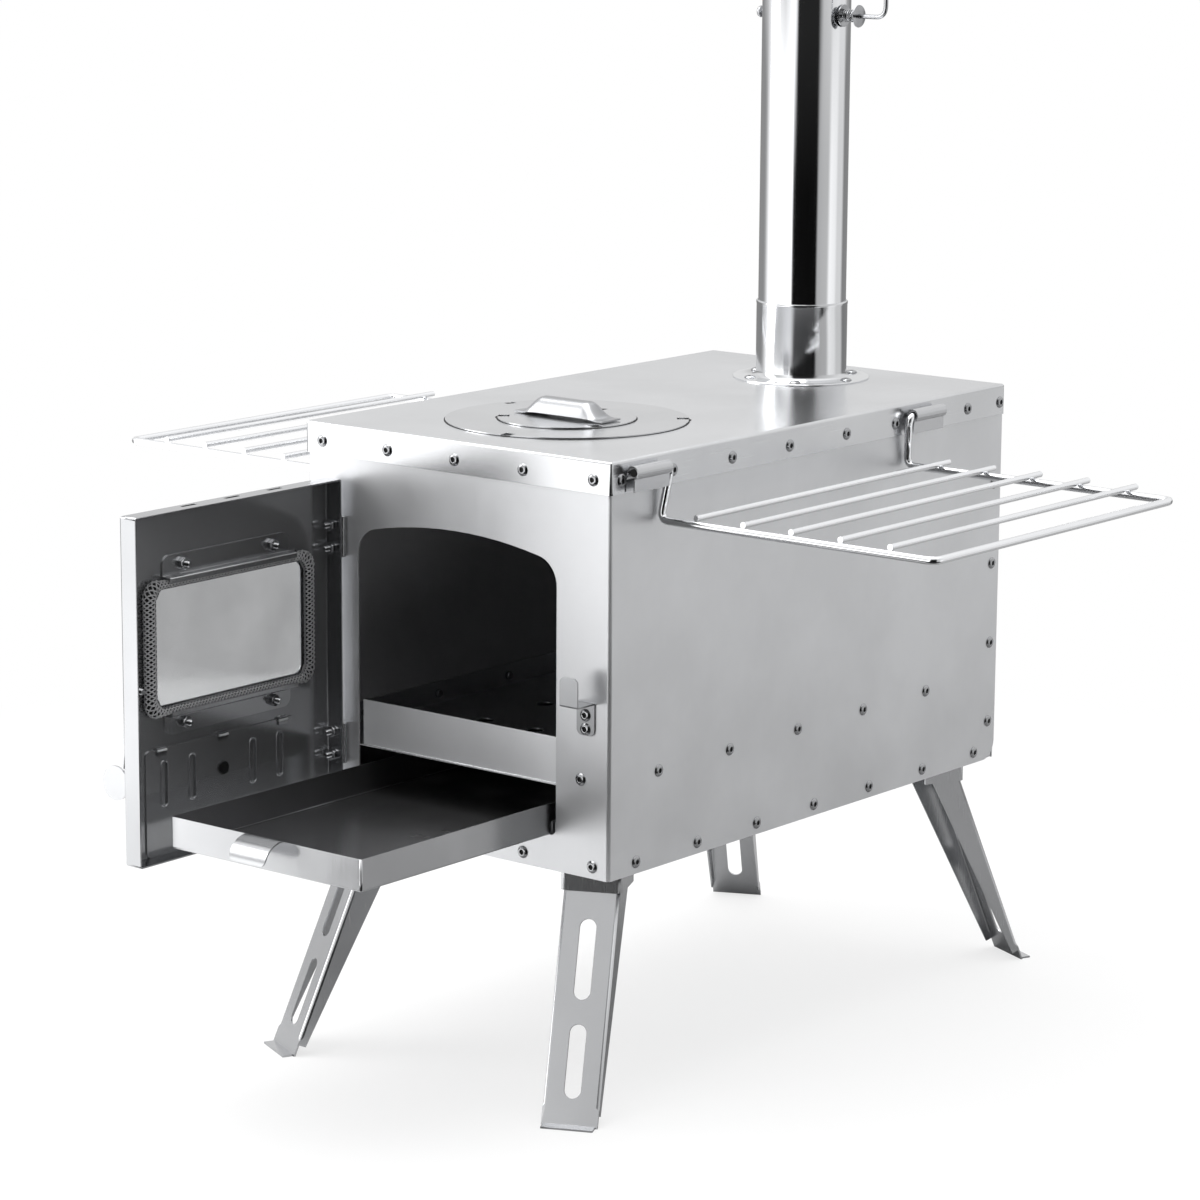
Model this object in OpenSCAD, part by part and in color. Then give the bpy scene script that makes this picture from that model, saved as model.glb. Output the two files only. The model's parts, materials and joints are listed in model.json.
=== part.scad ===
// Folding tent stove with glazed door, ash drawer, side racks and flue damper.
// Lengths are millimetres. The stove stands on z = 0, its bounding box centred on x = 0 and y = 0.
// The modules are written from the middle of the body's lower front edge and moved by at_floor.

/* [Body] */
// Width over the top plate
body_width = 250; // [230:1:270]
// Depth over the top plate
body_depth = 427; // [420:1:440]
// Height from the bottom pan to the cooking top
body_height = 261; // [255:1:270]
// Thickness of the stove's steel sheet
sheet = 1; // [0.9:0.05:1.1]
// Height of the top plate's folded skirt
skirt_height = 20.5; // [18:0.5:22]
// Height of the flanges turned up on the bottom pan and forward on the back panel
flange = 15; // [14:0.5:16]
// Radius of the side panels' lower rear corner
side_corner = 13; // [8:1:14]
// Clearance of the floor under the bottom pan
leg_height = 149.2; // [140:1:155]

/* [Front opening] */
// Distance of the fire opening from the sides of the body
opening_margin = 43; // [42:0.5:45]
// Lower edge of the fire opening, which the drawer runs on
opening_bottom = 22.5; // [22:0.5:23]
// Depth of the arch's crown below the cooking top
arch_drop = 57; // [53:1:61]
// Radius of the arch
arch_radius = 327; // [300:1:400]
// Radius of the opening's upper corners
arch_corner = 18; // [12:1:24]
// Radius of the opening's lower corners
sill_corner = 4; // [3:0.5:5]

/* [Rivets] */
// Diameter of a rivet's head
rivet_head = 8; // [7:0.5:8.5]
// Height of a rivet's head
rivet_rise = 1.5; // [1.2:0.1:1.8]
// Diameter of a rivet's shank
rivet_shank = 4; // [3.6:0.2:4.4]
// Gap between a shank and its hole
rivet_gap = 0.1; // [0.05:0.05:0.2]
// Height of the lowest row of rivets
low_rivet_height = 7.6; // [7:0.2:8.5]
// Depth of the skirt's rivets below the cooking top
skirt_rivet_depth = 12; // [10:0.5:13]
// Spacing of the front rivets as a share of the body's width
front_rivet_share = 0.222; // [0.2:0.001:0.224]
// Distance of the first low rivet from the front
low_rivet_first = 27; // [22:1:30]
// Spacing of the low rivets on a side as a share of the body's depth
low_rivet_share = 0.1457; // [0.135:0.0005:0.146]
// Distance of the grate's first rivet from the front
grate_rivet_first = 49; // [40:1:52]
// Spacing of the grate's rivets as a share of the body's depth
grate_rivet_share = 0.1705; // [0.15:0.0005:0.174]
// Height of the lowest rivet in the rear column
rear_rivet_first = 27; // [26:1:30]
// Spacing of the rear column as a share of the body's height
rear_rivet_share = 0.2126; // [0.19:0.0002:0.215]
// Distance of the rear column from the back
rear_rivet_inset = 8.3; // [7:0.1:9]
// Distance of the grate rivet on the front from the body's side
front_grate_inset = 23.3; // [21:0.1:27]

/* [Grate pan] */
// Height of the grate's underside
grate_height = 54; // [52:1:56]
// Gap between the lip that holds back the embers and the fire opening's side
ember_lip_gap = 1.5; // [1:0.1:6]
// Height of that lip
ember_lip_height = 30.3; // [24:0.5:34]
// Distance of that lip behind the front
ember_lip_inset = 3; // [2.5:0.5:4]
// Height of the grate's side flanges
grate_flange = 15; // [14:0.5:17]
// Diameter of the air holes
grate_hole = 12; // [9:0.5:14]
// Spacing of the air holes across as a share of the body's width
grate_across_share = 0.172; // [0.16:0.001:0.184]
// Spacing of the air holes front to back as a share of the body's depth
grate_along_share = 0.1452; // [0.135:0.0002:0.15]
// Distance of the first row of air holes from the front
grate_first_row = 42; // [36:1:44]

/* [Ash drawer] */
// Gap between the drawer and the fire opening's side
drawer_side_gap = 4; // [3:0.5:7]
// Height of the drawer
drawer_height = 20; // [18:0.5:22]
// How much shorter the drawer is than the body
drawer_shortfall = 27; // [25:1:45]
// How far the drawer stands out of the stove
drawer_out = 174; // [160:1:180]
// Thickness of the drawer's sheet
drawer_sheet = 0.8; // [0.7:0.05:1]
// Width of the drawer's pull
pull_width = 30; // [26:1:34]
// How far the pull stands proud
pull_reach = 15.5; // [12:0.5:16]
// How far the pull's end hangs below the drawer's rim
pull_drop = 14; // [12:0.5:15]
// Width of the shelf that each runner gives the drawer
runner_shelf = 12; // [8:1:16]
// Height of a runner's side guide
runner_height = 30; // [28:1:34]
// Width of a runner's foot
runner_foot = 12; // [8:1:14]

/* [Door] */
// Distance of the hinge axis from the body's side
hinge_inset = 32.4; // [31:0.2:33]
// Distance of the hinge axis in front of the front panel
hinge_y = 2.6; // [2.4:0.1:2.8]
// Distance from the hinge axis to the door pan
door_gap = 2.5; // [2.4:0.1:2.8]
// Distance of the door's free edge from the body's side when the door is shut
free_edge_inset = 32.6; // [31:0.2:34]
// Height of the door's lower edge
door_bottom = 9.5; // [9:0.5:11]
// Depth of the door's upper edge below the cooking top
door_drop = 34; // [30:0.5:36]
// Depth of the door pan
door_depth = 13.4; // [13:0.2:14]
// Distance of the door's face from the hinge axis
door_face = 11.8; // [11.4:0.1:12.2]
// Length of the vents in the door's top flange
vent_length = 12.5; // [10:0.5:14]
// Width of those vents
vent_width = 3; // [2.5:0.5:4]
// Spacing of those vents as a share of the door's width
vent_share = 0.208; // [0.18:0.002:0.23]

/* [Window] */
// Distance of the window's centre from the door's centre line
window_shift = 1.3; // [0:0.1:1.5]
// Height of the window's centre as a share of the door's height
window_rise_share = 0.6055; // [0.6:0.0005:0.612]
// Distance of the visible glass from the sides of a door with a centred window
window_margin = 26.1; // [25.6:0.1:28.5]
// Visible height of the glass as a share of the door's height
window_height_share = 0.3333; // [0.32:0.0001:0.338]
// Corner radius of the window
window_corner = 6; // [4:0.5:8]
// Width of the gasket that frames the glass
gasket_width = 6.5; // [6:0.1:7]
// Thickness of one layer of gasket
gasket_layer = 1.5; // [1.4:0.1:1.6]
// Thickness of the glass
glass_thickness = 4; // [3.5:0.1:4.2]
// How far the gasket covers the glass
glass_cover = 4; // [3.5:0.1:4.5]
// Length of a window clamp as a share of the glass's width
clamp_share = 0.86; // [0.8:0.01:0.9]
// Width of the clamp's bolted foot
clamp_foot = 12.5; // [12:0.1:13]
// How far a clamp reaches over the gasket
clamp_reach = 2.5; // [2:0.1:3]
// Spacing of a clamp's bolts as a share of the glass's width
clamp_bolt_share = 0.606; // [0.56:0.002:0.64]
// Distance of a clamp's bolts from its riser
clamp_bolt_inset = 6; // [5.8:0.1:6.4]

/* [Air shutter] */
// Width of the shutter plate as a share of the door's width
shutter_width_share = 0.734; // [0.72:0.001:0.74]
// Height of the shutter's upper edge as a share of the door's height
shutter_top_share = 0.315; // [0.308:0.0005:0.318]
// Distance of the shutter's centre from the door's centre line
shutter_shift = 7.3; // [6:0.1:8]
// Height of the lower end of the air slots as a share of the door's height
air_low_share = 0.145; // [0.14:0.0005:0.15]
// Height of the upper end of the air slots as a share of the door's height
air_high_share = 0.278; // [0.27:0.0005:0.282]
// Width of the air slots
air_slot_width = 5.5; // [5:0.5:6]
// Distance of the inner air slots from the shutter's centre as a share of the door's width
air_inner_share = 0.148; // [0.148:0.0005:0.153]
// Distance of the outer air slots from the shutter's centre as a share of the door's width
air_outer_share = 0.282; // [0.28:0.0005:0.286]
// Travel of the shutter
shutter_travel = 12; // [11:0.5:12.5]
// Height of the shutter's knob as a share of the door's height
knob_share = 0.214; // [0.2:0.001:0.22]
// Diameter of the knob
knob_diameter = 14; // [12:0.5:16]
// Length of the knob
knob_length = 10; // [8:0.5:12]
// Diameter of the knob's screw
knob_screw = 4; // [3.6:0.2:4.4]
// Width of the tabs that hold the shutter
guide_tab = 8; // [6:0.5:9]

/* [Latch] */
// Distance of the latch pivot from the door's free edge
latch_inset = 9.5; // [9:0.1:9.8]
// Height of the latch pivot as a share of the door's height
latch_share = 0.499; // [0.49:0.001:0.51]
// Distance from the pivot to the middle of the paddle
latch_reach = 59; // [56:0.5:62]
// Angle at which the lever hangs
latch_hang = 5.4; // [4:0.2:8]
// Width of the lever
lever_width = 10; // [8:0.5:11]
// Thickness of the lever
lever_sheet = 1.5; // [1.2:0.1:1.8]
// Diameter of the round paddle
paddle_diameter = 21.6; // [18:0.2:24]
// Width of the catch
catch_width = 14; // [12:0.5:15]
// Distance of the catch's centre from the body's side
catch_inset = 19; // [17:0.5:20]
// Depth of the catch's ledge below the latch pivot
catch_ledge_drop = 8; // [7:0.5:9]
// How far the catch stands out
catch_reach = 17.5; // [17:0.5:20]
// Height of the catch's foot, below the ledge
catch_foot = 20; // [19:0.5:24]
// Height of the catch's tab, above the ledge
catch_tab = 19; // [16:0.5:22]
// Corner radius of the catch
catch_corner = 4; // [3:0.5:5]
// Spacing of the catch's rivets
catch_rivet_pitch = 8.8; // [8.6:0.1:9]

/* [Hinges and bolts] */
// Diameter of a hinge barrel
barrel_diameter = 4; // [4:0.1:4.2]
// Diameter of a hinge pin
hinge_pin = 2; // [1.8:0.1:2.2]
// Length of a hinge
hinge_length = 26; // [24:0.5:28]
// Height of the lower hinge's middle as a share of the door's height
hinge_low_share = 0.208; // [0.2:0.001:0.22]
// Height of the upper hinge's middle as a share of the door's height
hinge_high_share = 0.828; // [0.81:0.001:0.835]
// Width of the leaf on the front panel
leaf_width = 18; // [17:0.5:20]
// Spacing of the screws and rivets in a leaf
leaf_pitch = 15; // [13:0.5:16]
// Running clearance of the pins, on the radius
running_gap = 0.05; // [0.03:0.01:0.08]
// Diameter of the bolts
bolt_diameter = 4; // [3.8:0.1:4.2]
// Diameter of a bolt's head
bolt_head = 7; // [6.6:0.2:7.4]
// Height of a bolt's head
bolt_rise = 1.8; // [1.6:0.1:2]
// Width of a nut across its corners
nut_width = 8.1; // [7.8:0.1:8.4]
// Height of a nut
nut_height = 3.2; // [2.8:0.1:3.6]
// Thread that shows past a nut
thread_tip = 4; // [3:0.5:5]

/* [Flue and damper] */
// Distance of the flue from the back
flue_inset = 63; // [61:1:67]
// Diameter of the flue pipe
pipe_diameter = 60; // [58:0.5:62]
// Thickness of the pipe's wall
pipe_wall = 0.6; // [0.5:0.05:0.8]
// Length of the pipe section
pipe_length = 300; // [280:1:320]
// Sliding clearance of the pipe in its collar, on the radius
pipe_gap = 0.1; // [0.06:0.01:0.1]
// Height of the collar
collar_height = 53; // [48:0.5:58]
// Diameter of the collar's flange
collar_flange = 94; // [92:0.5:100]
// Diameter of the circle of the collar's rivets
collar_rivet_circle = 76; // [75:0.5:78]
// Ledge under the pipe
pipe_ledge = 1.5; // [1.2:0.1:2]
// Length of the narrowed end that takes the next pipe section
spigot_length = 40; // [36:1:42]
// Height of the damper's shaft above the cooking top
damper_height = 247; // [235:1:255]
// Diameter of the damper's wire
damper_wire = 3; // [2.8:0.1:3.2]
// Gap between the damper disc and the pipe
damper_gap = 1; // [0.8:0.1:1.5]
// Diameter of the damper's washers
washer_diameter = 15; // [13:0.5:16]
// Thickness of those washers
washer_thickness = 1.2; // [1:0.1:1.4]
// Length of the spring in place
spring_length = 11.2; // [10:0.1:12]
// Outer diameter of the spring
spring_diameter = 8.5; // [8:0.1:9]
// Diameter of the spring's wire
spring_wire = 0.9; // [0.8:0.05:1]
// Turns of the spring
spring_turns = 6; // [5:1:6]
// Distance from the flue's centre to the handle's bend
handle_reach = 65; // [62:0.5:70]
// Height of the handle's upright
handle_rise = 42; // [35:1:50]
// Radius of the handle's bend
handle_bend = 8; // [6:0.5:9]
// Diameter of the button at the shaft's far end
button_diameter = 8; // [7:0.5:9]
// Thickness of that button
button_thickness = 3; // [2:0.5:4]
// Distance of the button's outer face from the flue's centre
button_reach = 40; // [38:0.5:42]

/* [Hob] */
// Distance of the hob's centre from the front
hob_y = 109; // [106:1:112]
// Diameter of the hob ring
ring_diameter = 156; // [150:1:160]
// Diameter of the lid
lid_diameter = 89; // [84:1:92]
// Width of the seat under ring and lid
hob_seat = 6; // [5.5:0.5:7]
// Thickness of ring and lid
hob_plate = 1; // [0.9:0.05:1.2]
// Width of the locating tabs
hob_tab = 7; // [6:0.5:8]
// Depth of the locating tabs
hob_tab_depth = 4; // [3:0.5:5]
// Play between a tab and its hole
hob_play = 1.6; // [1:0.1:2]
// Length of the lid's handle
lid_handle_length = 74; // [70:1:76]
// Length of the handle's raised grip
lid_grip_length = 53; // [48:1:54]
// Width of the handle
lid_handle_width = 20; // [16:1:24]
// Height of the handle's top above the lid
lid_handle_rise = 11.4; // [10:0.2:13]
// Length of each of the handle's feet
lid_handle_foot = 8; // [6:0.5:8.5]

/* [Racks] */
// Diameter of the rack's wire
rack_wire = 5; // [4.8:0.1:5.2]
// Diameter of a rack's rods
rack_rod = 4; // [3.8:0.1:4.2]
// Distance of the racks' pivots from the body's sides
rack_pivot_gap = 5.6; // [5.6:0.1:7]
// Depth of those pivots below the cooking top
rack_pivot_depth = 7.5; // [7:0.5:9]
// Distance of the outer bar from the pivot
rack_width = 198.4; // [180:0.2:215]
// Depth of the rack's arms below the cooking top
rack_drop = 41; // [39:0.5:45]
// Distance of the front arm from the front as a share of the body's depth
rack_front_share = 0.1047; // [0.103:0.0001:0.11]
// Distance of the rear arm from the back as a share of the body's depth
rack_rear_share = 0.274; // [0.272:0.001:0.281]
// Distance of the rods' front ends behind the middle of the front arm
rod_start = 0.5; // [0.3:0.1:0.8]
// How far the rods pass the middle of the rear arm
rod_over = 9; // [8:0.5:10]
// How deep the rods are welded into the arms
rod_weld = 0.4; // [0.3:0.1:0.6]
// Gap left between the rack's arms and the side panels
rack_wall_gap = 0.5; // [0.5:0.1:1]
// Diameter of the rolled tube on a rack bracket
tube_diameter = 7.8; // [7.4:0.1:7.8]
// Distance of the front bracket's tube in front of the front arm, as a share of the depth
tube_lead_share = 0.0752; // [0.0704:0.0002:0.0772]
// Length of a bracket's tube as a share of the body's depth
tube_share = 0.0796; // [0.075:0.0002:0.0818]
// Distance of the rear bracket's tube in front of the rear arm
tube_lag = 0.3; // [0.3:0.1:1]
// Length of a pin inside its tube
rack_pin = 25; // [20:1:28]
// How far a pin shows outside its tube
pin_show = 3.5; // [3.2:0.1:4]

/* [Legs] */
// Width of a leg
leg_width = 36; // [35:0.5:36.5]
// Thickness of the leg's sheet
leg_sheet = 1.2; // [1:0.05:1.4]
// Distance of a leg's web from its pivot
leg_web = 17.9; // [16:0.1:19]
// Depth of a leg's tapering flanges at the foot
leg_toe = 6; // [5:0.5:8]
// Height at which the flanges end above the foot, along the leg
flange_lift = 8; // [6:0.5:10]
// Radius of a flange's round end at the pivot
leg_boss = 4.2; // [3.6:0.1:4.2]
// Lean of a leg out of the vertical
leg_lean = 21.7; // [20:0.1:23]
// Turn of a leg away from the stove's front
leg_turn = 25; // [20:0.5:26]
// Distance of a leg's pivot from the body's side
leg_inset = 36.9; // [36:0.1:40]
// Distance of a leg's pivot from the stove's front or back
leg_pivot_y = 36.6; // [35:0.1:40]
// Depth of a leg's pivot under the bottom pan
leg_pivot_depth = 5.6; // [5.6:0.1:6.2]
// Diameter of a leg's pivot pin
leg_pin = 4; // [3.6:0.2:4.2]
// Distance of a foot's sides from its leg's sides
foot_inset = 1.5; // [1:0.1:3]
// Length of a foot
foot_length = 7; // [6:0.5:12]
// Width of a leg's slots
leg_slot = 10.6; // [8:0.2:12]
// Start and end of the two slots as shares of the leg's length
slot_shares = [[0.205, 0.515], [0.61, 0.892]];
// Width of a leg's bracket
bracket_width = 39.5; // [39.2:0.1:40]
// Length of a leg's bracket
bracket_length = 31; // [30:0.5:34]
// Depth of a leg's bracket
bracket_depth = 13.7; // [13:0.1:14.5]

/* [Hidden] */
cut = 2 * sheet;
half_width = body_width / 2 - sheet;
shell_depth = body_depth - 2 * sheet;
shell_height = body_height - sheet;
inner_half = half_width - sheet;
inner_back = shell_depth - sheet;
skirt_low = body_height - skirt_height;
skirt_rivet_z = body_height - skirt_rivet_depth;
skirt_side_shares = [0.021, 0.139, 0.28, 0.421, 0.566, 0.695, 0.893, 0.984];
rod_shares = [0.118, 0.296, 0.476, 0.658, 0.838];
pull_shares = [
    [0, 0], [0.14, 0.03], [0.28, 0.13], [0.42, 0.29],
    [0.54, 0.49], [0.66, 0.71], [0.8, 0.88], [1, 1]
];
opening_width = body_width - 2 * opening_margin;
opening_top = body_height - arch_drop;
front_rivet_pitch = body_width * front_rivet_share;
low_rivet_pitch = body_depth * low_rivet_share;
grate_rivet_pitch = body_depth * grate_rivet_share;
rear_rivet_pitch = body_height * rear_rivet_share;
front_grate_rivet = body_width / 2 - front_grate_inset;
ember_lip_width = opening_width - 2 * ember_lip_gap;
grate_pitch_x = body_width * grate_across_share;
grate_pitch_y = body_depth * grate_along_share;
drawer_width = opening_width - 2 * drawer_side_gap;
drawer_length = body_depth - drawer_shortfall;
rivet_reach = 2 * sheet + rivet_rise;
corner_x = opening_width / 2 - arch_corner;
arch_centre = opening_top - arch_radius;
corner_z = arch_centre + sqrt((arch_radius - arch_corner) ^ 2 - corner_x ^ 2);
door_inner = sheet - door_face;
door_lip = door_depth - door_face;
hinge_x = body_width / 2 - hinge_inset;
door_free = hinge_x + body_width / 2 - free_edge_inset;
door_width = door_free - door_gap;
door_middle = (door_free + door_gap) / 2;
door_top = body_height - door_drop;
door_height = door_top - door_bottom;
vent_pitch = door_width * vent_share;
window_u = door_middle + window_shift;
window_z = door_bottom + door_height * window_rise_share;
window_width = door_width - 2 * window_margin;
window_height = door_height * window_height_share;
clamp_length = window_width * clamp_share;
clamp_bolt_pitch = window_width * clamp_bolt_share;
shutter_width = door_width * shutter_width_share;
shutter_top = door_bottom + door_height * shutter_top_share;
shutter_u = door_middle + shutter_shift;
air_slot_low = door_bottom + door_height * air_low_share;
air_slot_high = door_bottom + door_height * air_high_share;
air_slot_inner = door_width * air_inner_share;
air_slot_outer = door_width * air_outer_share;
knob_height = door_bottom + door_height * knob_share;
latch_u = door_free - latch_inset;
latch_z = door_bottom + door_height * latch_share;
catch_x = body_width / 2 - catch_inset;
catch_ledge = latch_z - catch_ledge_drop;
catch_bottom = catch_ledge - catch_foot;
catch_top = catch_ledge + catch_tab;
hinge_low = door_bottom + door_height * hinge_low_share;
hinge_high = door_bottom + door_height * hinge_high_share;
gasket_half_u = window_width / 2 + gasket_width + glass_cover;
gasket_half_z = window_height / 2 + gasket_width;
glass_half_u = window_width / 2 + glass_cover;
glass_half_z = window_height / 2 + glass_cover;
glass_gap = 3 * rivet_gap;
gasket_thickness = 2 * gasket_layer + glass_thickness;
clamp_riser = gasket_half_z;
clamp_bolt_z = clamp_riser + sheet + clamp_bolt_inset;
lever_w = -door_face - lever_sheet;
paddle_u = latch_u + latch_reach * sin(latch_hang);
paddle_z = latch_z - latch_reach * cos(latch_hang);
leaf_u = door_gap - sheet;
leaf_clear = barrel_diameter / 2 + 6 * rivet_gap;
knuckle = hinge_length / 3;
knuckle_gap = 2 * rivet_gap;
leaf_bolt_w = -door_face / 2;
leaf_rivet_x = hinge_x + leaf_width - rivet_head / 2;
flue_y = shell_depth - flue_inset;
pipe_outer = pipe_diameter / 2;
pipe_inner = pipe_outer - pipe_wall;
spigot_outer = pipe_inner - pipe_gap;
collar_inner = pipe_outer + pipe_gap;
collar_outer = collar_inner + sheet;
damper_z = body_height + damper_height;
washer_start = pipe_outer + glass_gap;
spring_start = washer_start + washer_thickness;
spring_end = spring_start + spring_length;
coil_radius = (spring_diameter - spring_wire) / 2;
coil_pitch = (spring_length - spring_wire) / spring_turns;
ring_outer = ring_diameter / 2;
top_hole = ring_outer - hob_seat;
lid_outer = lid_diameter / 2;
ring_hole = lid_outer - hob_seat;
ring_top = body_height + hob_plate;
lid_top = ring_top + hob_plate;
rack_pivot_x = body_width / 2 + rack_pivot_gap;
rack_pivot_z = body_height - rack_pivot_depth;
rack_reach = rack_pivot_x + rack_width;
rack_height = body_height - rack_drop;
rack_front = body_depth * rack_front_share;
rack_rear = shell_depth - body_depth * rack_rear_share;
tube_front = rack_front - body_depth * tube_lead_share;
tube_length = body_depth * tube_share;
tube_rear = rack_rear - tube_lag;
rack_lower_x = half_width + rack_wire / 2 + rack_wall_gap;
tube_bore = rack_wire / 2 + running_gap;
front_pin_y = tube_front + tube_length + pin_show;
rear_pin_y = tube_rear - pin_show;
rod_z = rack_height + (rack_wire + rack_rod) / 2 - rod_weld;
leg_pivot_x = body_width / 2 - leg_inset;
leg_drop = leg_height - leg_pivot_depth;
leg_run = (leg_drop + leg_web * sin(leg_lean)) / cos(leg_lean);
leg_stop = (leg_pivot_depth - sheet - glass_gap - leg_web * sin(leg_lean)) / cos(leg_lean);
web_stop = leg_web / cos(leg_lean) + (bracket_depth - leg_pivot_depth) * tan(leg_lean);
bracket_lead = web_stop + 2 * rivet_gap + sheet;
foot_out = leg_drop * tan(leg_lean) + leg_web / cos(leg_lean) + foot_length;
front_end = min(-hinge_y - door_free, -drawer_out - pull_reach);
foot_end = leg_pivot_y - leg_width / 2 * sin(leg_turn) - foot_out * cos(leg_turn);
rear_end = shell_depth - foot_end;
centre_y = (front_end + rear_end) / 2;

// Moves a sub-part from the body's lower front edge to the floor frame.
module at_floor() {
    translate([0, -centre_y, leg_height]) children();
}

// Places door parts: x runs from the hinge to the free edge, y points to the inside.
module in_door() {
    at_floor() translate([-hinge_x, -hinge_y, 0]) rotate([0, 0, -90]) children();
}

// Block between two corners.
module block(low, high) {
    translate(low) cube(high - low);
}

// Outline in x and z given a thickness along y.
module face(low, high) {
    translate([0, high, 0]) rotate([90, 0, 0]) linear_extrude(high - low) children();
}

// Outline in y and z given a thickness along x.
module side_face(low, high) {
    translate([low, 0, 0]) rotate([90, 0, 90]) linear_extrude(high - low) children();
}

module round_rect(low, high, r) {
    translate([low[0] + r, low[1]]) square([high[0] - low[0] - 2 * r, high[1] - low[1]]);
    translate([low[0], low[1] + r]) square([high[0] - low[0], high[1] - low[1] - 2 * r]);
    for (a = [low[0] + r, high[0] - r], b = [low[1] + r, high[1] - r])
        translate([a, b]) circle(r, $fn = 32);
}

// Slot with round ends between two points on one vertical or level line.
module slot(from, to, width) {
    r = width / 2;
    translate(from) circle(r, $fn = 24);
    translate(to) circle(r, $fn = 24);
    level = abs(to[0] - from[0]) > abs(to[1] - from[1]);
    if (level) translate([from[0], from[1] - r]) square([to[0] - from[0], width]);
    else translate([from[0] - r, from[1]]) square([width, to[1] - from[1]]);
}

// Straight wire between two points, with a ball at its end.
module wire(from, to, d) {
    v = to - from;
    turn = atan2(v[1], v[0]);
    tilt = acos(v[2] / norm(v));
    translate(from) rotate([0, tilt, turn]) cylinder(h = norm(v), d = d, $fn = 24);
}

module ball(at, d) {
    translate(at) sphere(d = d, $fn = 24);
}

// Rivet with its head outwards along z and its shank inwards.
module rivet() {
    cylinder(h = rivet_rise, d = rivet_head, $fn = 10);
    translate([0, 0, -rivet_reach]) cylinder(h = rivet_reach, d = rivet_shank, $fn = 6);
}

module rivet_hole() {
    translate([0, 0, -rivet_reach - cut])
        cylinder(h = rivet_reach + 2 * cut, d = rivet_shank + 2 * rivet_gap, $fn = 6);
}

// The places of the rivets in the front, sides and back of the body.
module at_low_rivets() {
    for (i = [-2 : 2])
        translate([i * front_rivet_pitch, 0, low_rivet_height]) rotate([90, 0, 0]) children();
    for (i = [-1, 0, 1])
        translate([i * front_rivet_pitch, shell_depth, low_rivet_height]) rotate([-90, 0, 0]) children();
    for (s = [-1, 1], i = [0 : 6])
        translate([s * half_width, low_rivet_first + i * low_rivet_pitch, low_rivet_height])
            rotate([0, s * 90, 0]) children();
}

module at_grate_rivets() {
    translate([front_grate_rivet, 0, grate_height + grate_flange / 2]) rotate([90, 0, 0]) children();
    for (s = [-1, 1], i = [0 : 4])
        translate([s * half_width, grate_rivet_first + i * grate_rivet_pitch,
            grate_height + grate_flange / 2]) rotate([0, s * 90, 0]) children();
}

module at_rear_rivets() {
    for (s = [-1, 1], i = [0 : 3])
        translate([s * half_width, shell_depth - rear_rivet_inset, rear_rivet_first + i * rear_rivet_pitch])
            rotate([0, s * 90, 0]) children();
}

module at_skirt_rivets(out) {
    for (i = [-2 : 2]) {
        translate([i * front_rivet_pitch, -out, skirt_rivet_z]) rotate([90, 0, 0]) children();
        translate([i * front_rivet_pitch, shell_depth + out, skirt_rivet_z])
            rotate([-90, 0, 0]) children();
    }
    for (s = [-1, 1], share = skirt_side_shares)
        translate([s * (half_width + out), share * body_depth, skirt_rivet_z])
            rotate([0, s * 90, 0]) children();
}

module at_catch_rivets() {
    for (i = [0, 1])
        translate([catch_x, -sheet, catch_bottom + catch_corner + i * catch_rivet_pitch])
            rotate([90, 0, 0]) children();
}

module at_leaf_rivets() {
    for (z = [hinge_low, hinge_high], s = [-1, 1])
        translate([-leaf_rivet_x, -sheet, z + s * leaf_pitch / 2]) rotate([90, 0, 0]) children();
}

module at_collar_rivets() {
    for (i = [0 : 5])
        translate([0, flue_y, body_height + sheet]) rotate(i * 60)
            translate([collar_rivet_circle / 2, 0, 0]) rotate(30) children();
}

// Outline of the fire opening.
module opening_outline() {
    w = opening_width / 2;
    reach = 2 * arch_corner / (arch_radius - arch_corner);
    translate([-w, opening_bottom + sill_corner])
        square([opening_width, corner_z - opening_bottom - sill_corner]);
    translate([sill_corner - w, opening_bottom]) square([opening_width - 2 * sill_corner, arch_corner]);
    for (s = [-1, 1]) {
        translate([s * (w - sill_corner), opening_bottom + sill_corner]) circle(sill_corner, $fn = 24);
        translate([s * corner_x, corner_z]) circle(arch_corner, $fn = 48);
    }
    intersection() {
        translate([0, arch_centre]) circle(arch_radius, $fn = 360);
        polygon([
            [-corner_x, corner_z - sheet],
            [corner_x, corner_z - sheet],
            [corner_x, corner_z],
            [corner_x * (1 + reach), corner_z + (corner_z - arch_centre) * reach],
            [-corner_x * (1 + reach), corner_z + (corner_z - arch_centre) * reach],
            [-corner_x, corner_z]
        ]);
    }
}

module body_shell() at_floor() color("Gainsboro") difference() {
    block([-half_width, 0, 0], [half_width, shell_depth, shell_height]);
    block([-inner_half, sheet, -cut], [inner_half, shell_depth + cut, shell_height + cut]);
    face(-cut, cut) opening_outline();
    side_face(-body_width, body_width) difference() {
        translate([shell_depth - side_corner, -side_corner]) square(2 * side_corner);
        translate([shell_depth - side_corner, side_corner]) circle(side_corner, $fn = 48);
    }
    at_low_rivets() rivet_hole();
    at_grate_rivets() rivet_hole();
    at_rear_rivets() rivet_hole();
    at_skirt_rivets(0) rivet_hole();
    at_catch_rivets() rivet_hole();
    at_leaf_rivets() rivet_hole();
}

module bottom_pan() at_floor() color("Silver") difference() {
    block([-inner_half, sheet, 0], [inner_half, inner_back, flange]);
    block([sheet - inner_half, 2 * sheet, sheet], [inner_half - sheet, inner_back - sheet, flange + cut]);
    at_low_rivets() rivet_hole();
}

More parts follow.
